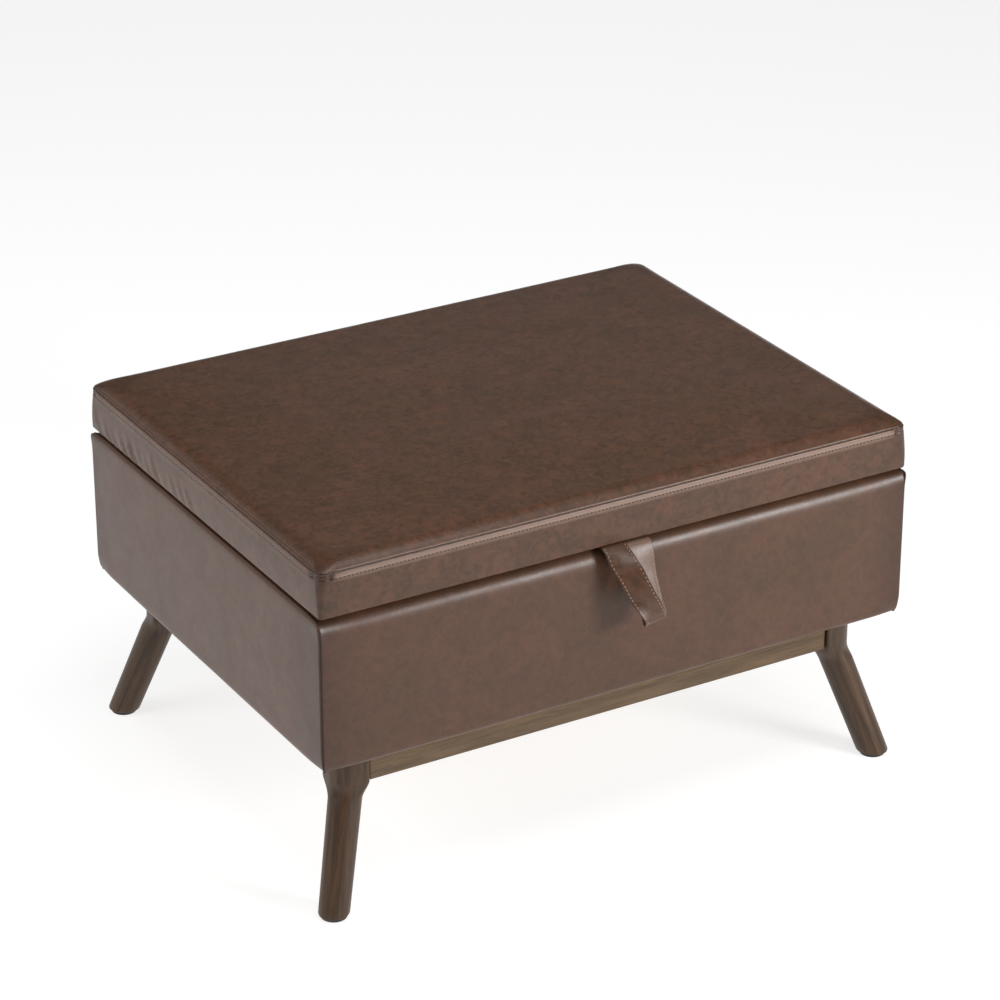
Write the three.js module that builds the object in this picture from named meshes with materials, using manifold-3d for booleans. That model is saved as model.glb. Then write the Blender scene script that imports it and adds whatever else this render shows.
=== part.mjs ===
// Storage ottoman with an upholstered box, a hinged padded lid, a leather pull loop
// and four splayed wooden legs. Millimetres, +Z up, X along the long side, front at -Y.
// The origin is on the floor, under the middle of everything including the pull loop.
import * as THREE from 'three';
import { mergeVertices } from 'three/addons/utils/BufferGeometryUtils.js';
import Module from 'manifold-3d';

const wasm = await Module();
wasm.setup();

// ---------------------------------------------------------------- driving dimensions
const FIT_GAP = 0.3; // air left between pieces that touch

const BODY_WIDTH = 866;
const BODY_DEPTH = 656;
const BODY_BOTTOM = 217.3;
const BODY_TOP = 422;
const BODY_ROLL = 8; // rounding of the upholstered top edge
const BODY_TUCK = 3; // rounding of the upholstered bottom edge

const COVER_THICK = 2.7; // faux leather with its thin backing
const PADDING_THICK = 5.7; // foam sheet behind the leather
const BOARD_THICK = 15;
const BOTTOM_THICK = 8.7;
const LINING_THICK = 1.5;
const LINING_BELOW_RIM = 8;

const LID_GAP = 5; // between the box rim and the lid
const LID_INSET = 2.8; // the lid is this much smaller than the box on each side
const LID_SIDE_HEIGHT = 55.5;
const LID_EDGE_RADIUS = 16;
const LID_CORNER_RADIUS = 6;
const LID_CROWN = 5;
const LID_TURN_UNDER = 30; // width of leather stapled under the lid board
const LID_TUCK = 5; // rounding of the lid's bottom edge
const LID_BOARD_INSET = 8; // from the outer face of the bands
const INNER_CORNER_RADIUS = 2;
const CROWN_INSETS = [50, 110, 190]; // rings that carry the crown across the top

const RAIL_BOTTOM = 163;
const RAIL_THICK = 20;
const RAIL_FRONT_Y = 284; // outer face of the front and back rails
const SIDE_RAIL_X = 379; // outer face of the side rails
const RAIL_END_GAP = 2.5; // shadow gap between a rail and a leg block

const BLOCK_X = 369; // centre of a leg's square block
const BLOCK_Y = 267;
const BLOCK_SIZE = 45;
const BLOCK_OUTER_RADIUS = 28;
const BLOCK_EDGE_RADIUS = 3;
const FOOT_X = 413.5; // centre of a foot on the floor
const FOOT_Y = 310.5;
const LEG_SLOPE = 0.294; // outward run per unit of height, in X and in Y
const LEG_TOP_RADIUS = 21.6;
const LEG_FOOT_RADIUS = 20;
const SHOULDER_TOP = 167; // the square block starts to turn round here
const SHOULDER_BOTTOM = 138; // and is fully round here
const GLIDE_HEIGHT = 4;
const GLIDE_RADIUS = 18;
const FOOT_CHAMFER = 3;
const LEG_LEVELS = [50, 100, SHOULDER_BOTTOM, 142, 147, 152, 157, 162, SHOULDER_TOP];

const BOLT_RADIUS = 4;
const BOLT_Z = 196;
const BOLT_START = 8; // inside the block, from its centre
const BOLT_TAIL = 12; // beyond the nut's seat
const WASHER_RADIUS = 9;
const WASHER_THICK = 1.6;
const NUT_RADIUS = 7.5;
const NUT_THICK = 6.6;
const BRACE_OUTER = 74; // X plus Y from the block centre to the brace's outer face
const BRACE_THICK = 30; // the same sum across the brace
const BRACE_HEIGHT = 38;
const BRACE_DROP = 39; // from the rail's top to the brace's underside

const HINGE_X = 250;
const HINGE_OFFSET = 4; // hinge axis behind the box's back face
const BARREL_RADIUS = 3.2;
const PIN_RADIUS = 1.5;
const LEAF_THICK = 1.5;
const LEAF_LENGTH = 70;
const KNUCKLE_LENGTH = 22.5;
const KNUCKLE_CLEARANCE = 0.6; // between a leaf and the other leaf's barrel
const KNUCKLE_BITE = 1.5; // how far a leaf runs into its own barrel
const PIN_HEAD = 2; // length of a pin beyond the outer knuckles

const STAY_REACH = new THREE.Vector2(-200, -13.5); // hinge axis to lid pivot, as Y and Z
const STAY_DROP = new THREE.Vector2(-60, -85); // hinge axis to box pivot, as Y and Z
const STAY_THICK = 2;
const STAY_HALF_WIDTH = 8;
const RIVET_RADIUS = 3.5;
const RIVET_HEAD_RADIUS = 6;
const RIVET_HEAD_THICK = 1.4;
const RIVET_OVERLAP = 0.5; // how far a shank runs into its head
const BRACKET_HALF = 15;
const BRACKET_DROP = 45;
const SCREW_DROPS = [20, 36]; // below the box pivot
const SCREW_RADIUS = 4.5;
const SCREW_HEAD = 1.6;
const EAR_HALF = 14; // lid bracket's ear, at the lid
const FLANGE_HALF = 26;
const FLANGE_WIDTH = 22;
const FLANGE_THICK = 1.6;

const STRAP_WIDTH = 36;
const STRAP_THICK = 2.2;
const STRAP_REACH = 53; // how far the loop stands out from the box front

const BUFFER_RADIUS = 4.5;
const BUFFER_FROM_SIDE = 40;
const BUFFER_FROM_FRONT = 18.5;

// ---------------------------------------------------------------- worked-out places
const HALF_X = BODY_WIDTH / 2;
const HALF_Y = BODY_DEPTH / 2;
const LID_BOTTOM = BODY_TOP + LID_GAP;
const LID_SEAM = LID_BOTTOM + LID_SIDE_HEIGHT;
const LID_HALF_X = HALF_X - LID_INSET;
const LID_HALF_Y = HALF_Y - LID_INSET;
const BOARD_INSET = COVER_THICK + PADDING_THICK + 2 * FIT_GAP; // box boards, from the outer face
const WALL_DEPTH = BOARD_INSET + BOARD_THICK; // outer face to the boards' inner face
const BOTTOM_UNDERSIDE = BODY_BOTTOM + COVER_THICK;
const BOTTOM_TOPSIDE = BOTTOM_UNDERSIDE + BOTTOM_THICK;
const RAIL_TOP = BOTTOM_UNDERSIDE - FIT_GAP;
const LEG_BOTTOM = GLIDE_HEIGHT + FIT_GAP;
const LINING_INSET = WALL_DEPTH + FIT_GAP;
const CAVITY_X = HALF_X - LINING_INSET - LINING_THICK; // half width of the storage space
const HINGE_Y = HALF_Y + HINGE_OFFSET;
const HINGE_Z = BODY_TOP + LID_GAP / 2;
const BACK_REACH = HINGE_Y + BARREL_RADIUS;
const FOOT_RADIUS_ACROSS = LEG_FOOT_RADIUS * Math.hypot(1, LEG_SLOPE);
const FRONT_MOST = HALF_Y + STRAP_REACH;
const BACK_MOST = Math.max(BACK_REACH, FOOT_Y + FOOT_RADIUS_ACROSS);
const ORIGIN_SHIFT = (FRONT_MOST - BACK_MOST) / 2; // box centre, ahead of the origin in Y

// ---------------------------------------------------------------- materials
function finish(hex, roughness, metalness = 0) {
  return () => new THREE.MeshStandardMaterial({ color: hex, roughness, metalness });
}
const leather = finish(0x5a4034, 0.42);
const walnut = finish(0x55432f, 0.45);
const plywood = finish(0xb99a6b, 0.75);
const foam = finish(0xe6dfb8, 0.95);
const liningCloth = finish(0x1f1d1c, 0.9);
const steel = finish(0x9a9a98, 0.35, 1);
const rubber = finish(0x17171a, 0.85);
const plastic = finish(0x1c1a18, 0.6);

// ---------------------------------------------------------------- solid helpers
function toSolid(geometry) {
  const bare = geometry.clone();
  bare.deleteAttribute('normal');
  bare.deleteAttribute('uv');
  const merged = mergeVertices(bare, 1e-4);
  return new wasm.Manifold(new wasm.Mesh({
    numProp: 3,
    vertProperties: new Float32Array(merged.attributes.position.array),
    triVerts: new Uint32Array(merged.index.array),
  }));
}

function toGeometry(solid) {
  const mesh = solid.getMesh();
  const geometry = new THREE.BufferGeometry();
  geometry.setAttribute('position', new THREE.BufferAttribute(mesh.vertProperties, 3));
  geometry.setIndex(new THREE.BufferAttribute(mesh.triVerts, 1));
  geometry.computeVertexNormals();
  return geometry;
}

function joined(...geometries) {
  return toGeometry(geometries.map(toSolid).reduce((whole, next) => whole.add(next)));
}

function cut(geometry, ...tools) {
  return toGeometry(tools.map(toSolid).reduce((whole, tool) => whole.subtract(tool), toSolid(geometry)));
}

function boxBetween(low, high) {
  const geometry = new THREE.BoxGeometry(high[0] - low[0], high[1] - low[1], high[2] - low[2]);
  geometry.translate((low[0] + high[0]) / 2, (low[1] + high[1]) / 2, (low[2] + high[2]) / 2);
  return geometry;
}

// A disc or rod along X between two X positions, centred on (y, z).
function rodAlongX(radius, fromX, toX, y, z, sides = 20) {
  const geometry = new THREE.CylinderGeometry(radius, radius, Math.abs(toX - fromX), sides);
  geometry.rotateZ(Math.PI / 2);
  geometry.translate((fromX + toX) / 2, y, z);
  return geometry;
}

// An outline drawn in (Y, Z) and given thickness between two X positions.
function plateAcrossX(outline, fromX, toX, curveSegments = 8) {
  const low = Math.min(fromX, toX);
  const geometry = new THREE.ExtrudeGeometry(outline, {
    depth: Math.abs(toX - fromX), bevelEnabled: false, curveSegments,
  });
  return remap(geometry, (y, z, x) => [x + low, y, z]);
}

function remap(geometry, place) {
  const position = geometry.attributes.position;
  for (let i = 0; i < position.count; i += 1) {
    position.setXYZ(i, ...place(position.getX(i), position.getY(i), position.getZ(i)));
  }
  geometry.computeVertexNormals();
  return geometry;
}

// Rings of points, each with the same count and counter-clockwise from above, skinned into
// a closed body. The first and last rings are closed by a fan about their middle.
function loft(rings) {
  const count = rings[0].length;
  const points = rings.flat();
  const faces = [];
  for (let r = 0; r + 1 < rings.length; r += 1) {
    for (let i = 0; i < count; i += 1) {
      const a = r * count + i;
      const b = r * count + (i + 1) % count;
      faces.push(a, b, b + count, a, b + count, a + count);
    }
  }
  const middle = (ring) => ring
    .reduce((sum, p) => sum.add(p), new THREE.Vector3())
    .divideScalar(ring.length);
  const last = (rings.length - 1) * count;
  points.push(middle(rings[0]), middle(rings.at(-1)));
  for (let i = 0; i < count; i += 1) {
    const next = (i + 1) % count;
    faces.push(points.length - 2, next, i);
    faces.push(points.length - 1, last + i, last + next);
  }
  const geometry = new THREE.BufferGeometry().setFromPoints(points);
  geometry.setIndex(faces);
  geometry.computeVertexNormals();
  return geometry;
}

// ---------------------------------------------------------------- assembly
const ottoman = new THREE.Group();
ottoman.name = 'storage_ottoman';
ottoman.position.y = ORIGIN_SHIFT;

function add(name, geometry, material, parent = ottoman) {
  const mesh = new THREE.Mesh(geometry, material());
  mesh.name = name;
  parent.add(mesh);
  return mesh;
}

const CORNERS = [
  { name: 'front_left', sx: -1, sy: -1 },
  { name: 'front_right', sx: 1, sy: -1 },
  { name: 'back_left', sx: -1, sy: 1 },
  { name: 'back_right', sx: 1, sy: 1 },
];

// ---- strips that run round the box or the lid, mitred at the corners
// profile is drawn as (distance in from the outer face, height).
function mitredStrip(profile, halfLength, halfDepth) {
  const geometry = new THREE.ExtrudeGeometry(profile, {
    depth: 1, bevelEnabled: false, curveSegments: 4,
  });
  return remap(geometry, (inward, z, along) => [
    (2 * along - 1) * (halfLength - inward - FIT_GAP / 2), inward - halfDepth, z,
  ]);
}

function addStrips(prefix, profile, halfX, halfY, material) {
  const sides = [
    { name: 'front', turn: 0, length: halfX, depth: halfY },
    { name: 'right', turn: Math.PI / 2, length: halfY, depth: halfX },
    { name: 'back', turn: Math.PI, length: halfX, depth: halfY },
    { name: 'left', turn: -Math.PI / 2, length: halfY, depth: halfX },
  ];
  for (const side of sides) {
    const geometry = mitredStrip(profile, side.length, side.depth);
    add(`${prefix}_${side.name}`, geometry, material).rotation.z = side.turn;
  }
}

// ---- legs, glides, rails, corner braces and leg bolts
function legRing(sx, sy, z) {
  const arcSteps = 4;
  const half = BLOCK_SIZE / 2;
  const span = THREE.MathUtils.clamp((SHOULDER_TOP - z) / (SHOULDER_TOP - SHOULDER_BOTTOM), 0, 1);
  const round = span * span * (3 - 2 * span);
  const rise = z / SHOULDER_BOTTOM;
  const radius = THREE.MathUtils.lerp(LEG_FOOT_RADIUS, LEG_TOP_RADIUS, Math.min(rise, 1));
  const chamfer = Math.max(0, LEG_BOTTOM + FOOT_CHAMFER - z);
  const axisX = sx * (FOOT_X - LEG_SLOPE * z);
  const axisY = sy * (FOOT_Y - LEG_SLOPE * z);
  const ring = [];
  for (let quadrant = 0; quadrant < 4; quadrant += 1) {
    const qx = quadrant === 0 || quadrant === 3 ? 1 : -1;
    const qy = quadrant < 2 ? 1 : -1;
    const corner = qx === sx && qy === sy ? BLOCK_OUTER_RADIUS : BLOCK_EDGE_RADIUS;
    for (let step = 0; step <= arcSteps; step += 1) {
      const arc = (quadrant + step / arcSteps) * Math.PI / 2;
      const squareX = sx * BLOCK_X + qx * (half - corner) + corner * Math.cos(arc);
      const squareY = sy * BLOCK_Y + qy * (half - corner) + corner * Math.sin(arc);
      const angle = (quadrant + (step + 0.5) / (arcSteps + 1)) * Math.PI / 2;
      const alongSplay = Math.cos(angle) * sx + Math.sin(angle) * sy;
      const stretch = alongSplay * (Math.sqrt(1 + 2 * LEG_SLOPE ** 2) - 1) / 2;
      const roundX = axisX + (radius - chamfer) * (Math.cos(angle) + stretch * sx);
      const roundY = axisY + (radius - chamfer) * (Math.sin(angle) + stretch * sy);
      ring.push(new THREE.Vector3(
        THREE.MathUtils.lerp(squareX, roundX, round),
        THREE.MathUtils.lerp(squareY, roundY, round),
        z,
      ));
    }
  }
  return ring;
}

// Geometry drawn along +X from the block centre, turned to point at the box's middle.
function aimedInward(geometry, sx, sy) {
  geometry.rotateZ(Math.atan2(-sy, -sx));
  geometry.translate(sx * BLOCK_X, sy * BLOCK_Y, BOLT_Z);
  return geometry;
}

// The brace closes the corner between two rails; its faces run at 45 degrees.
function cornerBrace(sx, sy) {
  const insideX = SIDE_RAIL_X - RAIL_THICK - FIT_GAP;
  const insideY = RAIL_FRONT_Y - RAIL_THICK - FIT_GAP;
  const outer = BLOCK_X + BLOCK_Y - BRACE_OUTER;
  const inner = outer - BRACE_THICK;
  const corners = [
    [outer - insideY, insideY], [inner - insideY, insideY],
    [insideX, inner - insideX], [insideX, outer - insideX],
  ].map(([x, y]) => new THREE.Vector2(sx * x, sy * y));
  const outline = new THREE.Shape(sx === sy ? corners : corners.reverse());
  const brace = new THREE.ExtrudeGeometry(outline, { depth: BRACE_HEIGHT, bevelEnabled: false });
  return brace.translate(0, 0, RAIL_TOP - BRACE_DROP);
}

function addCorner({ name, sx, sy }) {
  const bore = BOLT_RADIUS + FIT_GAP;
  const nutSeat = (BRACE_OUTER + BRACE_THICK) / Math.SQRT2 + FIT_GAP;
  const hole = () => aimedInward(rodAlongX(bore, BOLT_START - 2, nutSeat + BOLT_TAIL, 0, 0, 12), sx, sy);

  const levels = [LEG_BOTTOM, LEG_BOTTOM + FOOT_CHAMFER, ...LEG_LEVELS, RAIL_TOP];
  const leg = loft(levels.map((z) => legRing(sx, sy, z)));
  add(`leg_${name}`, cut(leg, hole()), walnut);
  add(`corner_brace_${name}`, cut(cornerBrace(sx, sy), hole()), plywood);

  const glide = new THREE.CylinderGeometry(GLIDE_RADIUS, GLIDE_RADIUS - 1, GLIDE_HEIGHT, 32);
  glide.rotateX(Math.PI / 2);
  const footX = FOOT_X - LEG_SLOPE * GLIDE_HEIGHT;
  const footY = FOOT_Y - LEG_SLOPE * GLIDE_HEIGHT;
  add(`glide_${name}`, glide, plastic).position.set(sx * footX, sy * footY, GLIDE_HEIGHT / 2);

  const stud = rodAlongX(BOLT_RADIUS, BOLT_START, nutSeat + BOLT_TAIL, 0, 0, 12);
  const washer = rodAlongX(WASHER_RADIUS, nutSeat, nutSeat + WASHER_THICK, 0, 0);
  const nut = rodAlongX(NUT_RADIUS, nutSeat + WASHER_THICK / 2, nutSeat + WASHER_THICK + NUT_THICK, 0, 0, 6);
  add(`leg_bolt_${name}`, aimedInward(joined(stud, washer, nut), sx, sy), steel);
}

function addRails() {
  const endX = BLOCK_X - BLOCK_SIZE / 2 - RAIL_END_GAP;
  const endY = BLOCK_Y - BLOCK_SIZE / 2 - RAIL_END_GAP;
  for (const [name, side] of [['front', -1], ['back', 1]]) {
    const near = side * RAIL_FRONT_Y;
    const far = side * (RAIL_FRONT_Y - RAIL_THICK);
    const low = [-endX, Math.min(near, far), RAIL_BOTTOM];
    add(`rail_${name}`, boxBetween(low, [endX, Math.max(near, far), RAIL_TOP]), walnut);
  }
  for (const [name, side] of [['left', -1], ['right', 1]]) {
    const near = side * SIDE_RAIL_X;
    const far = side * (SIDE_RAIL_X - RAIL_THICK);
    const low = [Math.min(near, far), -endY, RAIL_BOTTOM];
    add(`rail_${name}`, boxBetween(low, [Math.max(near, far), endY, RAIL_TOP]), walnut);
  }
}

// ---- the box: boards, foam sheet, leather cover and cloth lining
function bodyCoverProfile() {
  const t = COVER_THICK;
  const shape = new THREE.Shape();
  shape.moveTo(WALL_DEPTH, BODY_BOTTOM);
  shape.lineTo(WALL_DEPTH, BODY_BOTTOM + t - FIT_GAP);
  shape.lineTo(t, BODY_BOTTOM + t - FIT_GAP);
  shape.lineTo(t, BODY_TOP - BODY_ROLL);
  shape.absarc(BODY_ROLL, BODY_TOP - BODY_ROLL, BODY_ROLL - t, Math.PI, Math.PI / 2, true);
  shape.lineTo(WALL_DEPTH, BODY_TOP - t);
  shape.lineTo(WALL_DEPTH, BODY_TOP);
  shape.lineTo(BODY_ROLL, BODY_TOP);
  shape.absarc(BODY_ROLL, BODY_TOP - BODY_ROLL, BODY_ROLL, Math.PI / 2, Math.PI, false);
  shape.lineTo(0, BODY_BOTTOM + BODY_TUCK);
  shape.absarc(BODY_TUCK, BODY_BOTTOM + BODY_TUCK, BODY_TUCK, Math.PI, 1.5 * Math.PI, false);
  return shape;
}

function addBoxBoards() {
  const bottom = BOTTOM_TOPSIDE + FIT_GAP;
  const top = BODY_TOP - COVER_THICK - FIT_GAP;
  const outX = HALF_X - BOARD_INSET;
  const outY = HALF_Y - BOARD_INSET;
  const inX = outX - BOARD_THICK;
  const inY = outY - BOARD_THICK;
  add('bottom_panel', boxBetween([-outX, -outY, BOTTOM_UNDERSIDE], [outX, outY, BOTTOM_TOPSIDE]), plywood);
  add('front_panel', boxBetween([-outX, -outY, bottom], [outX, -inY, top]), plywood);
  add('back_panel', boxBetween([-outX, inY, bottom], [outX, outY, top]), plywood);
  const sideY = inY - FIT_GAP;
  add('left_panel', boxBetween([-outX, -sideY, bottom], [-inX, sideY, top]), plywood);
  add('right_panel', boxBetween([inX, -sideY, bottom], [outX, sideY, top]), plywood);
}

function addBoxPadding() {
  const inset = COVER_THICK + FIT_GAP;
  const low = BODY_BOTTOM + COVER_THICK + BODY_TUCK;
  const high = BODY_TOP - BODY_ROLL - FIT_GAP;
  const outer = boxBetween([inset - HALF_X, inset - HALF_Y, low], [HALF_X - inset, HALF_Y - inset, high]);
  const hollow = inset + PADDING_THICK;
  const inner = boxBetween(
    [hollow - HALF_X, hollow - HALF_Y, low - 1],
    [HALF_X - hollow, HALF_Y - hollow, high + 1],
  );
  add('box_padding', cut(outer, inner), foam);
}

function addLining() {
  const outX = HALF_X - LINING_INSET;
  const outY = HALF_Y - LINING_INSET;
  const floor = BOTTOM_TOPSIDE + FIT_GAP;
  const top = BODY_TOP - LINING_BELOW_RIM;
  const outer = boxBetween([-outX, -outY, floor], [outX, outY, top]);
  const hollow = boxBetween(
    [LINING_THICK - outX, LINING_THICK - outY, floor + LINING_THICK],
    [outX - LINING_THICK, outY - LINING_THICK, top + 1],
  );
  add('storage_lining', cut(outer, hollow), liningCloth);
}

// ---- the lid: board, foam, side bands, top cover and underside cloth
function lidBandProfile() {
  const t = COVER_THICK;
  const tuck = LID_TUCK;
  const shape = new THREE.Shape();
  shape.moveTo(LID_TURN_UNDER, LID_BOTTOM);
  shape.lineTo(LID_TURN_UNDER, LID_BOTTOM + t);
  shape.lineTo(t + tuck, LID_BOTTOM + t);
  shape.lineTo(t, LID_BOTTOM + t + tuck);
  shape.lineTo(t, LID_SEAM);
  shape.lineTo(0, LID_SEAM);
  shape.lineTo(0, LID_BOTTOM + tuck);
  shape.absarc(tuck, LID_BOTTOM + tuck, tuck, Math.PI, 1.5 * Math.PI, false);
  return shape;
}

// A rounded rectangle inset from the lid's outline, raised by the lid's crown.
function lidRing(inset, z, crowned = true) {
  const arcSteps = 4;
  const halfX = LID_HALF_X - inset;
  const halfY = LID_HALF_Y - inset;
  const radius = Math.max(LID_CORNER_RADIUS - inset, INNER_CORNER_RADIUS);
  const ring = [];
  for (let quadrant = 0; quadrant < 4; quadrant += 1) {
    const qx = quadrant === 0 || quadrant === 3 ? 1 : -1;
    const qy = quadrant < 2 ? 1 : -1;
    const runX = quadrant % 2 === 1;
    for (let step = 0; step <= arcSteps; step += 1) {
      const arc = (quadrant + step / arcSteps) * Math.PI / 2;
      const x = qx * (halfX - radius) + radius * Math.cos(arc);
      const y = qy * (halfY - radius) + radius * Math.sin(arc);
      ring.push(new THREE.Vector3(x, y, z));
    }
    // Extra points along the straight side that follows, so the crown has a shape.
    for (const share of [0.5, 0, -0.5]) {
      const x = runX ? -halfX : share * 2 * (halfX - radius);
      const y = runX ? share * 2 * (halfY - radius) : halfY;
      const flip = quadrant < 2 ? 1 : -1;
      ring.push(new THREE.Vector3(flip * x, flip * y, z));
    }
  }
  if (crowned) {
    for (const p of ring) {
      p.z += LID_CROWN * (1 - (p.x / LID_HALF_X) ** 2) * (1 - (p.y / LID_HALF_Y) ** 2);
    }
  }
  return ring;
}

// The skin's section from its rim over the rounded edge and on to the middle.
function lidSection(rimInset, rimZ) {
  const radius = LID_EDGE_RADIUS - rimInset;
  const rings = [];
  for (let step = 0; step <= 4; step += 1) {
    const angle = (step / 4) * Math.PI / 2;
    rings.push(lidRing(LID_EDGE_RADIUS - radius * Math.cos(angle), rimZ + radius * Math.sin(angle)));
  }
  for (const inset of CROWN_INSETS) {
    rings.push(lidRing(inset, rimZ + radius));
  }
  return rings;
}

function addLid() {
  const boardX = LID_HALF_X - LID_BOARD_INSET;
  const boardY = LID_HALF_Y - LID_BOARD_INSET;
  const boardLow = LID_BOTTOM + COVER_THICK + FIT_GAP;
  const boardHigh = boardLow + BOARD_THICK;
  add('lid_board', boxBetween([-boardX, -boardY, boardLow], [boardX, boardY, boardHigh]), plywood);

  const liningX = LID_HALF_X - LID_TURN_UNDER - FIT_GAP;
  const liningY = LID_HALF_Y - LID_TURN_UNDER - FIT_GAP;
  const liningLow = LID_BOTTOM + FIT_GAP;
  add('lid_underside_cloth', boxBetween(
    [-liningX, -liningY, liningLow],
    [liningX, liningY, liningLow + LINING_THICK],
  ), liningCloth);

  addStrips('lid_band', lidBandProfile(), LID_HALF_X, LID_HALF_Y, leather);

  const outside = lidSection(0, LID_SEAM + FIT_GAP);
  const inside = lidSection(COVER_THICK, LID_SEAM + FIT_GAP).reverse();
  add('lid_top_cover', loft([...inside, ...outside]), leather);

  const foamInset = COVER_THICK + FIT_GAP;
  const foamTop = lidSection(foamInset, LID_SEAM);
  const foamFoot = lidRing(foamInset, boardHigh + FIT_GAP, false);
  add('lid_foam', loft([foamFoot, ...foamTop]), foam);
}

// ---- two butt hinges with loose pins
function hingeLeaf(x, plateZ, ownKnuckles) {
  const plate = boxBetween(
    [x - LEAF_LENGTH / 2, HALF_Y - WALL_DEPTH, plateZ],
    [x + LEAF_LENGTH / 2, HINGE_Y - BARREL_RADIUS - KNUCKLE_CLEARANCE, plateZ + LEAF_THICK],
  );
  const pieces = [plate];
  for (const [from, to] of ownKnuckles) {
    pieces.push(boxBetween(
      [x + from, HINGE_Y - BARREL_RADIUS - KNUCKLE_BITE, plateZ],
      [x + to, HINGE_Y - BARREL_RADIUS + KNUCKLE_BITE, plateZ + LEAF_THICK],
    ));
    pieces.push(rodAlongX(BARREL_RADIUS, x + from, x + to, HINGE_Y, HINGE_Z, 16));
  }
  const bore = rodAlongX(PIN_RADIUS + FIT_GAP, x - LEAF_LENGTH, x + LEAF_LENGTH, HINGE_Y, HINGE_Z, 12);
  return cut(joined(...pieces), bore);
}

function addHinge(name, x) {
  const half = LEAF_LENGTH / 2;
  const inner = half - KNUCKLE_LENGTH;
  const bodyKnuckles = [[-half, -inner], [inner, half]];
  const lidKnuckles = [[FIT_GAP - inner, inner - FIT_GAP]];
  add(`hinge_${name}_box_leaf`, hingeLeaf(x, BODY_TOP + FIT_GAP, bodyKnuckles), steel);
  add(`hinge_${name}_lid_leaf`, hingeLeaf(x, LID_BOTTOM - FIT_GAP - LEAF_THICK, lidKnuckles), steel);
  const shaft = rodAlongX(PIN_RADIUS, x - half - 1, x + half + 1, HINGE_Y, HINGE_Z, 12);
  const heads = [-1, 1].map((end) => rodAlongX(
    BARREL_RADIUS - 0.5, x + end * (half + FIT_GAP), x + end * (half + PIN_HEAD), HINGE_Y, HINGE_Z, 16,
  ));
  add(`hinge_${name}_pin`, joined(shaft, ...heads), steel);
}

// ---- two folding lid stays, each a lower arm on the box and an upper arm on the lid
const HINGE_AXIS = new THREE.Vector2(HINGE_Y, HINGE_Z);
const LID_PIVOT = HINGE_AXIS.clone().add(STAY_REACH);
const BOX_PIVOT = HINGE_AXIS.clone().add(STAY_DROP);
const ELBOW = LID_PIVOT.clone().add(STAY_DROP);

// A flat link with round ends about two pivots, in (Y, Z).
function linkOutline(from, to, holeAt = []) {
  const heading = Math.atan2(to.y - from.y, to.x - from.x);
  const shape = new THREE.Shape();
  shape.absarc(to.x, to.y, STAY_HALF_WIDTH, heading - Math.PI / 2, heading + Math.PI / 2, false);
  shape.absarc(from.x, from.y, STAY_HALF_WIDTH, heading + Math.PI / 2, heading + 1.5 * Math.PI, false);
  for (const centre of holeAt) {
    const hole = new THREE.Path();
    hole.absarc(centre.x, centre.y, RIVET_RADIUS + FIT_GAP, 0, 2 * Math.PI, true);
    shape.holes.push(hole);
  }
  return shape;
}

// A rivet that starts inside its own plate, passes the next one and ends in a head.
function rivet(side, plateInner, passed, centre) {
  const headOuter = plateInner - FIT_GAP - passed - FIT_GAP;
  const shank = rodAlongX(
    RIVET_RADIUS, side * (plateInner + 1), side * (headOuter - RIVET_OVERLAP), centre.x, centre.y, 16,
  );
  const head = rodAlongX(
    RIVET_HEAD_RADIUS, side * headOuter, side * (headOuter - RIVET_HEAD_THICK), centre.x, centre.y, 20,
  );
  return [shank, head];
}

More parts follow.
